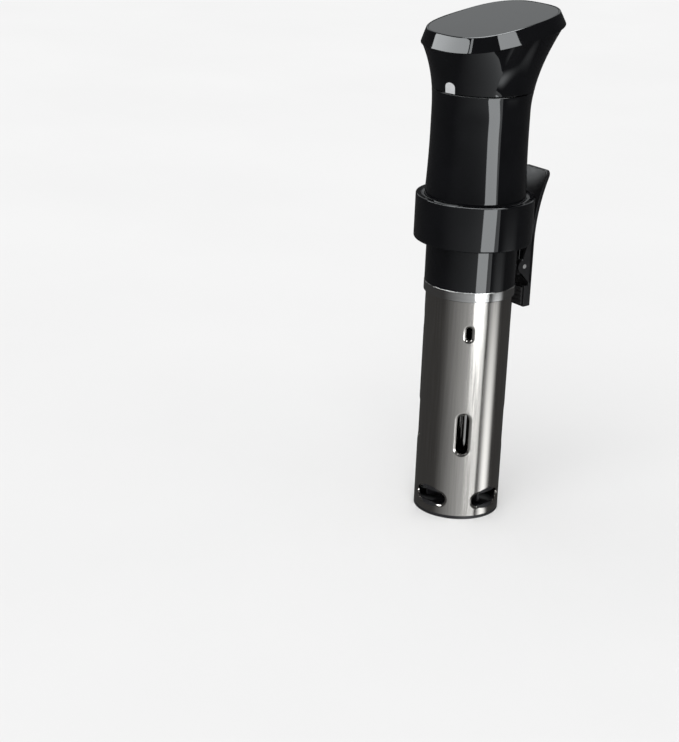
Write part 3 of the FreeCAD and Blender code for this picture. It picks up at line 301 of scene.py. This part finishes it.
def rounded_path(corners, steps=4):
    """A closed section, as (across, up) points, with each corner rounded by its own radius."""
    path = []
    count = len(corners)
    for index, (x, z, radius) in enumerate(corners):
        if radius <= 0.0:
            path.append((x, z))
            continue
        here = Vector((x, z))
        before = Vector(corners[index - 1][:2]) - here
        after = Vector(corners[(index + 1) % count][:2]) - here
        before.normalize()
        after.normalize()
        half = 0.5 * before.angle(after)
        reach_along = radius / math.tan(half)
        middle = here + (before + after).normalized() * (radius / math.sin(half))
        start = here + before * reach_along - middle
        end = here + after * reach_along - middle
        turn = start.angle_signed(end)
        for step in range(steps + 1):
            spoke = start.copy()
            angle = -turn * step / steps
            spun = Vector((spoke.x * math.cos(angle) - spoke.y * math.sin(angle),
                           spoke.x * math.sin(angle) + spoke.y * math.cos(angle)))
            path.append(tuple(middle + spun))
    return path


def turned(name, section, slot, body, replaced=(), size=160, sharp_angle=40.0):
    """A closed section of (radius, height, corner radius), turned round the axis."""
    path = rounded_path(section)
    points = []
    for radius, height in path:
        for index in range(size):
            angle = 2.0 * math.pi * index / size
            points.append((radius * math.sin(angle), -radius * math.cos(angle), height))
    return add_piece(name, points, ring_faces(len(path), size, True), slot, body, replaced, sharp_angle)


# ---------------------------------------------------------------- casing outlines
def reach(angle, half_x, half_y, exponent):
    side = abs(math.sin(angle) / half_x) ** exponent
    along = abs(math.cos(angle) / half_y) ** exponent
    return (side + along) ** (-1.0 / exponent)


def on_slope(x, y, height, tilt):
    slope = math.radians(tilt)
    return (x, y * math.cos(slope), height + y * math.sin(slope))


def outline_point(angle, half_x, half_y, centre_y, exponent, height, tilt, scoop=0.0):
    radius = reach(angle, half_x, half_y, exponent) - scoop
    return on_slope(radius * math.sin(angle), centre_y - radius * math.cos(angle), height, tilt)


def casing_size(height, inset):
    flare = max(0.0, (height - FLARE_START_Z) / (RIM_Z - FLARE_START_Z)) ** FLARE_POWER
    base = WAIST_R
    if height < WAIST_Z:
        drop = (WAIST_Z - height) / (WAIST_Z - COLLAR_TOP)
        base += (COLUMN_R - WAIST_R) * min(1.0, drop) ** 2
    half_x = base + (RIM_HALF[0] - RIM_OVERHANG - WAIST_R) * flare - inset
    half_y = base + (RIM_HALF[1] - RIM_OVERHANG - WAIST_R) * flare - inset
    return half_x, half_y, RIM_CENTRE_Y * flare, 2.0 + (RIM_EXPONENT - 2.0) * flare


def head_ring(height, inset):
    share = (height - SEAM_Z) / (RIM_Z - SEAM_Z)
    crease = math.radians(CREASE_AT_SEAM + (CREASE_AT_RIM - CREASE_AT_SEAM) * share)
    span = math.radians(CREASE_SPAN)
    depth = CREASE_DEPTH * math.sin(0.5 * math.pi * share) ** 0.8
    angles = [-crease + 2.0 * crease * index / HEAD_FRONT for index in range(HEAD_FRONT)]
    rear = 2.0 * math.pi - 2.0 * crease
    angles += [crease + rear * index / HEAD_REAR for index in range(HEAD_REAR)]
    points = []
    for angle in angles:
        part = (min(abs(angle), 2.0 * math.pi - angle) - crease) / span
        scoop = depth * 6.75 * part * (1.0 - part) ** 2 if 0.0 < part < 1.0 else 0.0
        points.append(outline_point(angle, *casing_size(height, inset), height, TILT * share, scoop))
    return points


def head_shell():
    low = SEAM_Z + SEAM_GAP
    bevel = 0.4
    rows = [(low, WALL), (low, bevel)]
    rows += [(low + bevel * (1.0 - math.cos(t)), bevel * (1.0 - math.sin(t)))
             for t in (math.radians(a) for a in (25, 50, 72, 90))]
    climb = RIM_Z - low - bevel
    rows += [(low + bevel + climb * step / 30, 0.0) for step in range(1, 31)]
    rows += [(RIM_Z - (RIM_Z - low) * step / 8, WALL) for step in range(8)]
    points = [p for height, inset in rows for p in head_ring(height, inset)]
    size = HEAD_FRONT + HEAD_REAR
    faces = ring_faces(len(rows), size, True)
    creases = []
    for row in range(1, len(rows) - 1):
        if rows[row][0] > SEAM_Z + 4.0 and rows[row][1] < 0.1:
            for column in (0, HEAD_FRONT):
                creases.append((row * size + column, (row + 1) * size + column))
    add_piece("head_casing", points, faces, "gloss_black", "casing", ("head_shell",), creases=creases)


def column_shell():
    bevel = 0.45
    rows = [(COLUMN_BOTTOM, WALL), (COLUMN_BOTTOM, bevel), (COLUMN_BOTTOM + bevel, 0.0),
            (COLLAR_TOP - 2.0, 0.0)]
    climb = SEAM_Z - bevel - COLLAR_TOP
    rows += [(COLLAR_TOP + climb * step / 40, 0.0) for step in range(41)]
    rows += [(SEAM_Z - bevel * (1.0 - math.sin(t)), bevel * (1.0 - math.cos(t)))
             for t in (math.radians(a) for a in (25, 50, 72, 90))]
    rows += [(SEAM_Z - (SEAM_Z - COLUMN_BOTTOM) * step / 8, WALL) for step in range(8)]
    points = []
    for height, inset in rows:
        for index in range(COLUMN_SIZE):
            angle = 2.0 * math.pi * index / COLUMN_SIZE
            points.append(outline_point(angle, *casing_size(height, inset), height, 0.0))
    faces = ring_faces(len(rows), COLUMN_SIZE, True)
    add_piece("column_casing", points, faces, "gloss_black", "casing", ("column_shell",))


def bezel_point(angle, share, inset):
    half_x = RIM_HALF[0] + (FACE_HALF[0] - RIM_HALF[0]) * share - inset
    half_y = RIM_HALF[1] + (FACE_HALF[1] - RIM_HALF[1]) * share - inset
    centre_y = RIM_CENTRE_Y + (FACE_CENTRE_Y - RIM_CENTRE_Y) * share
    exponent = RIM_EXPONENT + (FACE_EXPONENT - RIM_EXPONENT) * share
    height = RIM_Z + (FACE_Z - RIM_Z) * share
    return outline_point(angle, half_x, half_y, centre_y, exponent, height, TILT)


def face_point(angle, inset, rise):
    height = RIM_Z + rise / math.cos(math.radians(TILT))
    half_x, half_y = FACE_HALF[0] - inset, FACE_HALF[1] - inset
    return outline_point(angle, half_x, half_y, FACE_CENTRE_Y, FACE_EXPONENT, height, TILT)


def rim_bezel():
    lip, bevel = PANEL_EDGE, 0.5
    seat = RIM_RISE - PANEL_SUNK - PANEL_THICK - 0.5
    tall = FACE_Z - RIM_Z
    rows = []
    for t in (math.radians(a) for a in (0, 30, 60, 90)):
        rows.append(lambda a, t=t: bezel_point(a, bevel * (1.0 - math.cos(t)) / tall,
                                               bevel * (1.0 - math.sin(t))))
    for step in range(1, 8):
        rows.append(lambda a, s=step: bezel_point(a, (bevel + (tall - 2.0 * bevel) * s / 8) / tall, 0.0))
    for t in (math.radians(a) for a in (0, 25, 50, 70, 90)):
        rows.append(lambda a, t=t: bezel_point(a, 1.0 - bevel * (1.0 - math.sin(t)) / tall,
                                               bevel * (1.0 - math.cos(t))))
    rows.append(lambda a: face_point(a, lip - 0.12, RIM_RISE))
    rows.append(lambda a: face_point(a, lip, RIM_RISE - 0.12))
    rows.append(lambda a: face_point(a, lip, seat))
    rows.append(lambda a: face_point(a, lip + 1.9, seat))
    rows.append(lambda a: face_point(a, lip + 1.9, 0.0))
    points = [row(2.0 * math.pi * index / RIM_SIZE) for row in rows for index in range(RIM_SIZE)]
    faces = ring_faces(len(rows), RIM_SIZE, True)
    add_piece("rim_band", points, faces, "gloss_black", "casing", ("rim_bezel",))


def touch_panel():
    inset, bevel = PANEL_EDGE + 0.1, 0.25
    top = RIM_RISE - PANEL_SUNK
    low = top - PANEL_THICK
    rows = [(inset + bevel, low), (inset, low + bevel)]
    rows += [(inset + bevel * (1.0 - math.cos(t)), top - bevel * (1.0 - math.sin(t)))
             for t in (math.radians(a) for a in (0, 30, 60, 90))]
    rows += [(inset + 2.0 * bevel, top), (inset + 6.0 * bevel, top)]
    points = [face_point(2.0 * math.pi * index / RIM_SIZE, edge, rise)
              for edge, rise in rows for index in range(RIM_SIZE)]
    faces = ring_faces(len(rows), RIM_SIZE, False)
    last = (len(rows) - 1) * RIM_SIZE
    faces.append(tuple(range(RIM_SIZE - 1, -1, -1)))
    faces.append(tuple(range(last, last + RIM_SIZE)))
    add_piece("top_glass", points, faces, "panel_black", "casing", ("touch_panel",))


def indicator_lens():
    """Pale dome-topped window, a little proud of the head, drawn flat and laid on its surface."""
    half, tall, bevel = LENS_HALF_WIDE, LENS_TALL, 0.45
    arch = tall - half
    outline = [(-half, 0.0)] + [(half * math.cos(math.radians(180.0 - a)),
                                 arch + half * math.sin(math.radians(a))) for a in range(0, 181, 9)]
    outline += [(half, 0.0)]
    centre = (0.0, 0.45 * tall)
    rows = [(0.0, -0.9), (0.0, 0.0)] + [(bevel * (1 - math.cos(t)), 0.28 * math.sin(t))
                                        for t in (math.radians(a) for a in (30, 60, 90))]
    rows += [(1.6, 0.32), (2.8, 0.34)]
    low = SEAM_Z + SEAM_GAP + 0.05
    points = []
    for inset, proud in rows:
        for u, v in outline:
            gap = math.hypot(u - centre[0], v - centre[1])
            keep = max(0.05, 1.0 - inset / gap)
            across, up = centre[0] + (u - centre[0]) * keep, centre[1] + (v - centre[1]) * keep
            height = low + up
            share = (height - SEAM_Z) / (RIM_Z - SEAM_Z)
            angle = math.radians(LENS_ANGLE) + across / WAIST_R
            points.append(outline_point(angle, *casing_size(height, -proud), height, TILT * share))
    size = len(outline)
    faces = ring_faces(len(rows), size, False)
    last = (len(rows) - 1) * size
    faces.append(tuple(range(size - 1, -1, -1)))
    faces.append(tuple(range(last, last + size)))
    add_piece("indicator_window", points, faces, "lens_grey", "casing", ("indicator_lens",))


def trim_ring():
    section = [(RING_IN_R, RING_LOW_Z, 0.2), (RING_OUT_R, RING_LOW_Z, 0.6),
               (RING_OUT_R, RING_HIGH_Z, 0.3), (RING_IN_R, RING_HIGH_Z, 0.1)]
    turned("steel_band", section, "polished_steel", "casing", ("trim_ring",))


# ---------------------------------------------------------------- collar and lever


def slab(name, outline, low_x, high_x, slot, body, bevel):
    """A side profile of (y, z) points drawn out along X, with bevelled edges."""
    count = len(outline)
    points = [(low_x, y, z) for y, z in outline] + [(high_x, y, z) for y, z in outline]
    area = sum(a[0] * b[1] - b[0] * a[1] for a, b in zip(outline, outline[1:] + outline[:1]))
    order = list(range(count)) if area < 0 else list(range(count - 1, -1, -1))
    faces = [tuple(order), tuple(i + count for i in reversed(order))]
    for a, b in zip(order, order[1:] + order[:1]):
        faces.append((b, a, a + count, b + count))
    obj = add_piece(name, points, faces, slot, body, sharp_angle=30.0, weighted=False)
    soften = obj.modifiers.new("edges", "BEVEL")
    soften.width = bevel * MM
    soften.segments = 3
    soften.limit_method = "ANGLE"
    soften.angle_limit = math.radians(35.0)
    soften.harden_normals = True
    return obj


def pivot_arc(radius, degrees):
    """Points of (y, z) round the lever's pin."""
    turns = [math.radians(a) for a in degrees]
    return [(PIVOT_Y + radius * math.cos(t), PIVOT_Z + radius * math.sin(t)) for t in turns]


def clamp_collar():
    """Ring with a flat back; the pieces of its bracket stand under it."""
    top_round, low_round, inner_round = 0.8, 1.2, 0.12
    rows = []
    for degrees in (0, 22, 45, 68, 90):
        t = math.radians(degrees)
        rows.append((COLLAR_BOTTOM + low_round * (1 - math.cos(t)), low_round * (1 - math.sin(t)), False))
    rows.append((0.5 * (COLLAR_BOTTOM + COLLAR_TOP), 0.0, False))
    for degrees in (0, 22, 45, 68, 90):
        t = math.radians(degrees)
        rows.append((COLLAR_TOP - top_round * (1 - math.sin(t)), top_round * (1 - math.cos(t)), False))
    for degrees in (0, 45, 90):
        t = math.radians(degrees)
        rows.append((COLLAR_TOP - inner_round * (1 - math.cos(t)), inner_round * (1 - math.sin(t)), True))
    for degrees in (0, 45, 90):
        t = math.radians(degrees)
        rows.append((COLLAR_BOTTOM + inner_round * (1 - math.sin(t)), inner_round * (1 - math.cos(t)), True))
    points = []
    for height, inset, inside in rows:
        for index in range(COLLAR_SIZE):
            angle = 2.0 * math.pi * index / COLLAR_SIZE
            if inside:
                radius = COLLAR_IN_R + inset
            else:
                back = -math.cos(angle)
                chord = (COLLAR_FLAT_Y - inset) / back if back > 0.3 else COLLAR_R
                radius = min(COLLAR_R - inset, chord)
            points.append((radius * math.sin(angle), -radius * math.cos(angle), height))
    faces = ring_faces(len(rows), COLLAR_SIZE, True)
    ring = add_piece("collar_ring", points, faces, "gloss_black", "collar", sharp_angle=30.0)
    boss = pivot_arc(BRACKET_BOSS_R, range(75, -230, -15))
    cheek_top = COLLAR_BOTTOM - 8.0
    cheek = [(COLLAR_FLAT_Y, cheek_top)] + boss + [(BRACKET_BACK_Y, cheek_top)]
    slab("bracket_left", cheek, -BRACKET_HALF_X, -BRACKET_IN_X, "gloss_black", "collar", 0.3)
    slab("bracket_right", cheek, BRACKET_IN_X, BRACKET_HALF_X, "gloss_black", "collar", 0.3)
    low, high = COLLAR_BOTTOM - 10.0, COLLAR_BOTTOM + 1.0
    plate = [(BRACKET_BACK_Y, low), (COLLAR_FLAT_Y, low), (COLLAR_FLAT_Y, high), (BRACKET_BACK_Y, high)]
    slab("bracket_plate", plate, -BRACKET_HALF_X, BRACKET_HALF_X, "gloss_black", "collar", 0.3)
    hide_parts("clamp_collar")


def lever_faces_y(z):
    """Inner and outer face of the paddle at a height."""
    rise = max(0.0, z - LEVER_BEND_Z)
    centre = LEVER_OUT_Y + LEVER_BEND_R
    outer = centre - math.sqrt(LEVER_BEND_R ** 2 - rise ** 2)
    inner_r = LEVER_BEND_R + LEVER_OUT_Y - LEVER_IN_Y
    return centre - math.sqrt(inner_r ** 2 - rise ** 2), outer


def clamp_lever():
    """Paddle made of rounded sections, wider cheeks with an eye each, and the jaw."""
    edge = 0.55
    heights = [(LEVER_BOTTOM_Z, edge), (LEVER_BOTTOM_Z + 0.16, 0.23), (LEVER_BOTTOM_Z + edge, 0.0)]
    heights += [(LEVER_BOTTOM_Z + 8.0 * step, 0.0) for step in range(1, 6)]
    bend_span = LEVER_TOP_Z - PADDLE_CORNER - LEVER_BEND_Z
    heights += [(LEVER_BEND_Z + bend_span * step / BEND_STEPS, 0.0) for step in range(BEND_STEPS + 1)]
    heights += [(LEVER_TOP_Z - PADDLE_CORNER + PADDLE_CORNER * math.sin(math.radians(a)), 0.0)
                for a in (15, 30, 45, 60, 70, 78)]
    heights += [(LEVER_TOP_Z - 0.02, 0.3), (LEVER_TOP_Z, 0.55)]
    points = []
    size = 0
    for z, inset in heights:
        inner, outer = lever_faces_y(z)
        up = max(0.0, z - (LEVER_TOP_Z - PADDLE_CORNER))
        half = LEVER_HALF_X - PADDLE_CORNER + math.sqrt(max(0.0, PADDLE_CORNER ** 2 - up ** 2))
        half -= inset
        low_y, high_y = inner + inset, outer - inset
        section = []
        for sx, sy, first in ((1, -1, -90), (1, 1, 0), (-1, 1, 90), (-1, -1, 180)):
            mid = (sx * (half - edge), (high_y - edge) if sy > 0 else (low_y + edge))
            for step in range(5):
                a = math.radians(first + 22.5 * step)
                section.append((mid[0] + edge * math.cos(a), mid[1] + edge * math.sin(a), z))
        size = len(section)
        points += section
    faces = ring_faces(len(heights), size, False)
    last = (len(heights) - 1) * size
    faces.append(tuple(range(size - 1, -1, -1)))
    faces.append(tuple(range(last, last + size)))
    add_piece("lever_paddle", points, faces, "lever_black", "lever", ("clamp_lever",), sharp_angle=50.0)
    cheek = [(LEVER_OUT_Y - 1.2, PIVOT_Z - 14.0)] + pivot_arc(EYE_R, range(250, 105, -12))
    cheek += [(LEVER_IN_Y - 1.6, COLLAR_BOTTOM - 1.6), (LEVER_OUT_Y - 1.2, COLLAR_BOTTOM + 2.0)]
    inner_x = LEVER_HALF_X - CHEEK_THICK
    slab("lever_cheek_left", cheek, -LEVER_HALF_X, -inner_x, "lever_black", "lever", 0.4)
    slab("lever_cheek_right", cheek, inner_x, LEVER_HALF_X, "lever_black", "lever", 0.4)
    jaw_top = LEVER_BOTTOM_Z + JAW_HEIGHT
    jaw = [(JAW_IN_Y, LEVER_BOTTOM_Z), (JAW_OUT_Y, LEVER_BOTTOM_Z),
           (JAW_OUT_Y, jaw_top), (JAW_IN_Y, jaw_top)]
    slab("lever_jaw", jaw, -LEVER_HALF_X, LEVER_HALF_X, "lever_black", "lever", 0.4)


# ---------------------------------------------------------------- skirt
def stadium(half_wide, half_tall, grow, count):
    """A closed round-ended outline round (0, 0), with the same points at any growth."""
    radius = min(half_wide, half_tall)
    straight_x, straight_z = half_wide - radius, half_tall - radius
    outline = []
    for index in range(count):
        angle = 2.0 * math.pi * (index + 0.5) / count
        x, z = math.cos(angle), math.sin(angle)
        outline.append(((straight_x * (1 if x > 0 else -1)) + (radius + grow) * x,
                        (straight_z * (1 if z > 0 else -1)) + (radius + grow) * z))
    return outline


def skirt_holes():
    """(degrees from the skirt's joint, height, half width, half height) of each hole."""
    holes = []
    for quarter in range(4):
        turn = 90.0 * quarter - SKIRT_START
        holes.append((FEATURE_FIRST + turn, *SLOT))
        holes.append((FEATURE_FIRST + turn, *VENT))
        holes.append((FEATURE_FIRST + turn - 45.0, *WINDOW))
    return holes


HOLES = skirt_holes()


def hole_gap(u, z, hole):
    """How far a point of the unrolled skirt is outside a hole, in millimetres."""
    across = (u - math.radians(hole[0]) * SKIRT_R + 0.5 * AROUND) % AROUND - 0.5 * AROUND
    up = z - hole[1]
    radius = min(hole[2], hole[3])
    dx = max(0.0, abs(across) - (hole[2] - radius))
    dz = max(0.0, abs(up) - (hole[3] - radius))
    return math.hypot(dx, dz) - radius


def near_hole(u, z, limit):
    return any(hole_gap(u, z, hole) < limit for hole in HOLES)


def pressed_in(gap):
    """Depth of the rolled edge that runs round each hole."""
    if gap >= HOLE_STEPS[-1]:
        return 0.0
    part = 1.0 - max(0.0, gap) / HOLE_STEPS[-1]
    return ROLL_DEPTH * part ** 2


def radius_at(u, z):
    gap = min(hole_gap(u, z, hole) for hole in HOLES)
    end = max(0.0, 1.0 - (SKIRT_TOP - z)) ** 2 * END_ROLL
    return SKIRT_R - pressed_in(gap) - end


def flat_skirt():
    """The skirt unrolled: its points, and the triangles that leave the holes open."""
    flat, edges = [], []
    for row in range(SKIRT_ROWS + 1):
        z = SKIRT_BOTTOM + (SKIRT_TOP - SKIRT_BOTTOM) * row / SKIRT_ROWS
        for column in range(SKIRT_COLUMNS + 1):
            u = AROUND * column / SKIRT_COLUMNS
            if not near_hole(u, z, HOLE_STEPS[-1] + 0.8):
                flat.append(Vector((u, z)))
    for hole in HOLES:
        middle = (math.radians(hole[0]) * SKIRT_R) % AROUND
        for step in HOLE_STEPS:
            first = len(flat)
            loop = stadium(hole[2], hole[3], step, HOLE_POINTS)
            flat += [Vector((middle + x, hole[1] + z)) for x, z in loop]
            edges += [(first + i, first + (i + 1) % len(loop)) for i in range(len(loop))]
    verts, _, triangles, _, _, _ = delaunay_2d_cdt(flat, edges, [], 0, 1e-6)
    kept = []
    for face in triangles:
        u = sum(verts[i].x for i in face) / len(face)
        z = sum(verts[i].y for i in face) / len(face)
        if not near_hole(u, z, 0.0):
            kept.append(tuple(face))
    return verts, kept


def wrapped_skirt(verts, triangles):
    """Outer points, their normals and faces, with the two ends of the sheet joined."""
    points, normals, index_of, renumber = [], [], {}, []
    step = 0.05
    for vert in verts:
        u, z = (0.0 if vert.x > AROUND - 1e-4 else vert.x), vert.y
        key = (round(u, 4), round(z, 4))
        if key not in index_of:
            index_of[key] = len(points)
            radius = radius_at(u, z)
            angle = u / SKIRT_R + math.radians(SKIRT_START)
            points.append((radius * math.sin(angle), -radius * math.cos(angle), z))
            du = (radius_at(u + step, z) - radius_at(u - step, z)) / (2.0 * step)
            dz = (radius_at(u, z + step) - radius_at(u, z - step)) / (2.0 * step)
            outward = Vector((math.sin(angle), -math.cos(angle), 0.0))
            along = Vector((math.cos(angle), math.sin(angle), 0.0))
            normals.append((outward - along * du - Vector((0.0, 0.0, dz))).normalized())
        renumber.append(index_of[key])
    return points, normals, [tuple(renumber[i] for i in face) for face in triangles]


def edge_walls(faces, shift):
    """Faces that join each open edge to the same edge of the inner skin, shift points on."""
    border = {}
    for face in faces:
        for start, end in zip(face, face[1:] + face[:1]):
            border[(start, end)] = True
    return [(end, start, start + shift, end + shift) for start, end in border if (end, start) not in border]


def set_skirt_normals(mesh, normals):
    """Smooth normals on both skins, and flat ones on the walls between them."""
    count = len(normals)
    custom = []
    for polygon in mesh.polygons:
        is_outer = all(v < count for v in polygon.vertices)
        is_inner = all(v >= count for v in polygon.vertices)
        for v in polygon.vertices:
            if is_outer:
                custom.append(normals[v])
            elif is_inner:
                custom.append(-normals[v - count])
            else:
                custom.append(polygon.normal)
    mesh.normals_split_custom_set(custom)


def skirt():
    points, normals, outer = wrapped_skirt(*flat_skirt())
    count = len(points)
    inner_points = []
    for point in points:
        outward = Vector((point[0], point[1], 0.0)).normalized()
        inner_points.append(tuple(Vector(point) - outward * (SKIRT_R - SKIRT_IN_R)))
    inner = [tuple(i + count for i in reversed(face)) for face in outer]
    faces = outer + inner + edge_walls(outer, count)
    obj = add_piece("skirt_tube", points + inner_points, faces, "skirt_steel", "skirt_body", ("skirt",),
                    sharp_angle=50.0, weighted=False)
    set_skirt_normals(obj.data, normals)


# ---------------------------------------------------------------- studio
def stage_mesh(name, points, faces, material):
    mesh = bpy.data.meshes.new(name)
    mesh.from_pydata(points, [], faces)
    mesh.materials.append(material)
    obj = bpy.data.objects.new(name, mesh)
    bpy.context.scene.collection.objects.link(obj)
    return obj


def make_floor():
    half = FLOOR_HALF
    material = surface("floor_white", tones((0.80, 0.80, 0.80), 0.01), (0.9, 0.95), scale=3.0, specular=0.0)
    points = [(-half, -half, 0.0), (half, -half, 0.0), (half, half, 0.0), (-half, half, 0.0)]
    floor = stage_mesh("floor", points, [(0, 1, 2, 3)], material)
    floor.visible_glossy = False


def glow_material(name, left, right, edge, curve=1.0):
    """Added light that runs across a card from one strength to another and fades at its edges."""
    material = bpy.data.materials.new(name)
    material.use_nodes = True
    tree = material.node_tree
    tree.nodes.clear()
    place = tree.nodes.new("ShaderNodeTexCoord")
    split = tree.nodes.new("ShaderNodeSeparateXYZ")
    tree.links.new(place.outputs["UV"], split.inputs["Vector"])
    bend = tree.nodes.new("ShaderNodeMath")
    bend.operation = "POWER"
    bend.inputs[1].default_value = curve
    tree.links.new(split.outputs["X"], bend.inputs[0])
    across = tree.nodes.new("ShaderNodeMapRange")
    across.inputs["To Min"].default_value = left
    across.inputs["To Max"].default_value = right
    tree.links.new(bend.outputs["Value"], across.inputs["Value"])
    strength = across.outputs["Result"]
    for axis, soft in zip(("X", "Y"), edge):
        fold = tree.nodes.new("ShaderNodeMath")
        fold.operation = "PINGPONG"
        fold.inputs[1].default_value = 0.5
        tree.links.new(split.outputs[axis], fold.inputs[0])
        fade = tree.nodes.new("ShaderNodeMapRange")
        fade.interpolation_type = "SMOOTHSTEP"
        fade.inputs["From Max"].default_value = soft
        tree.links.new(fold.outputs["Value"], fade.inputs["Value"])
        both = tree.nodes.new("ShaderNodeMath")
        both.operation = "MULTIPLY"
        tree.links.new(strength, both.inputs[0])
        tree.links.new(fade.outputs["Result"], both.inputs[1])
        strength = both.outputs["Value"]
    glow = tree.nodes.new("ShaderNodeEmission")
    glow.inputs["Color"].default_value = GLOW_TINT
    through = tree.nodes.new("ShaderNodeBsdfTransparent")
    total = tree.nodes.new("ShaderNodeAddShader")
    output = tree.nodes.new("ShaderNodeOutputMaterial")
    tree.links.new(strength, glow.inputs["Strength"])
    tree.links.new(glow.outputs["Emission"], total.inputs[0])
    tree.links.new(through.outputs["BSDF"], total.inputs[1])
    tree.links.new(total.outputs["Shader"], output.inputs["Surface"])
    return material


def only_in_reflections(obj):
    obj.visible_camera = False
    obj.visible_diffuse = False
    obj.visible_shadow = False
    obj.visible_transmission = False
    obj.visible_volume_scatter = False


def glowing_sheet(name, corners, order, uvs, material):
    obj = stage_mesh(name, corners, [order], material)
    layer = obj.data.uv_layers.new(name="UVMap")
    for loop, uv in zip(layer.data, uvs):
        loop.uv = uv
    only_in_reflections(obj)


def card(name, turn, rise, distance, around_z, left, right, edge=(0.05, 0.05), lean=0.0, curve=1.0):
    """A glowing card seen only in reflections; turn and rise are its ranges in degrees.

    turn runs from the front towards +X, and rise is seen from the height around_z on the axis.
    """
    middle = math.radians(0.5 * (turn[0] + turn[1]))
    half_wide = distance * math.tan(math.radians(0.5 * (turn[1] - turn[0])))
    low = distance * math.tan(math.radians(rise[0]))
    high = distance * math.tan(math.radians(rise[1]))
    centre = Vector((distance * math.sin(middle), -distance * math.cos(middle), around_z))
    along = Vector((math.cos(middle), math.sin(middle), 0.0))
    corners = []
    for side, height in ((-1, low), (1, low), (1, high), (-1, high)):
        shift = lean * (height - 0.5 * (low + high))
        corners.append(tuple(centre + along * (side * half_wide + shift) + Vector((0, 0, height))))
    material = glow_material(name + "_light", left, right, edge, curve)
    glowing_sheet(name, corners, (0, 1, 2, 3), ((0, 0), (1, 0), (1, 1), (0, 1)), material)


def make_dome():
    """A faint even glow all round, seen only in reflections."""
    rings, size = 16, 32
    points = []
    for row in range(rings + 1):
        polar = math.pi * row / rings
        for index in range(size):
            angle = 2.0 * math.pi * index / size
            points.append((DOME_R * math.sin(polar) * math.cos(angle),
                           DOME_R * math.sin(polar) * math.sin(angle), DOME_R * math.cos(polar)))
    faces = ring_faces(rings + 1, size, False)
    material = bpy.data.materials.new("dome_light")
    material.use_nodes = True
    tree = material.node_tree
    tree.nodes.clear()
    glow = tree.nodes.new("ShaderNodeEmission")
    glow.inputs["Strength"].default_value = DOME_LEVEL
    output = tree.nodes.new("ShaderNodeOutputMaterial")
    tree.links.new(glow.outputs["Emission"], output.inputs["Surface"])
    only_in_reflections(stage_mesh("dome", points, faces, material))


def make_ceiling():
    """A bright card overhead, which shows only as thin lines along the upper edges."""
    half, height = CEILING_HALF, CEILING_Z
    points = [(-half, -half, height), (half, -half, height), (half, half, height), (-half, half, height)]
    material = glow_material("ceiling_light", CEILING_LEVEL, CEILING_LEVEL, (0.1, 0.1))
    glowing_sheet("ceiling", points, (3, 2, 1, 0), ((0, 1), (1, 1), (1, 0), (0, 0)), material)


def make_lights():
    scene = bpy.context.scene
    world = bpy.data.worlds.new("studio")
    scene.world = world
    world.use_nodes = True
    world.node_tree.nodes["Background"].inputs["Color"].default_value = (1.0, 1.0, 1.0, 1.0)
    world.node_tree.nodes["Background"].inputs["Strength"].default_value = WORLD_LEVEL
    world.cycles_visibility.glossy = False
    data = bpy.data.lights.new("key", "SUN")
    data.energy = SUN_LEVEL
    data.angle = math.radians(SUN_ANGLE)
    key = bpy.data.objects.new("key", data)
    key.rotation_euler = (math.radians(SUN_TURN[0]), math.radians(SUN_TURN[1]), 0.0)
    key.visible_glossy = False
    scene.collection.objects.link(key)
    make_dome()
    make_ceiling()
    make_cards()


def make_cards():
    """The lit strips and patches that the gloss shows, each with its fade and its slant."""
    card("strip", (68.0, 95.0), (-19.5, -2.0), 3.0, 0.25, 5.6, 5.0, (0.05, 0.05), lean=0.5)
    card("strip_low", (58.0, 82.0), (-24.0, -15.0), 10.0, 0.08, 4.5, 4.5, (0.12, 0.2))
    card("shade", (-20.0, 100.0), (-72.0, -2.0), 3.2, 0.25, 0.0, 1.35, (0.015, 0.1), curve=2.0)
    card("rim_left", (-58.0, 12.0), (12.0, 31.0), 1.0, 0.33, 6.8, 6.8, (0.02, 0.02))
    card("rim_middle", (14.5, 21.0), (12.0, 31.0), 1.0, 0.33, 5.0, 5.0, (0.05, 0.02))
    card("rim_right", (86.0, 119.0), (20.0, 42.0), 1.0, 0.33, 6.5, 6.0, (0.03, 0.03))
    card("sky", (-172.0, -88.0), (14.0, 46.0), 3.0, 0.33, 0.55, 0.55, (0.03, 0.03))
    card("wing", (104.0, 146.0), (-36.0, -13.0), 6.0, 0.30, 1.8, 1.8, (0.45, 0.5))
    card("edge", (-163.0, -150.0), (-16.0, -8.0), 10.0, 0.25, 2.4, 2.4, (0.3, 0.2))
    for index, (turn, level) in enumerate(STREAKS):
        card(f"streak_{index}", turn, (-21.5, -14.5), 10.0, 0.08, level, level, (0.2, 0.2))


make_camera()
MATERIALS = make_materials()
dress_nodes()
head_shell()
column_shell()
rim_bezel()
touch_panel()
indicator_lens()
trim_ring()
clamp_collar()
clamp_lever()
skirt()
make_floor()
make_lights()
bpy.context.scene.view_settings.view_transform = "Standard"
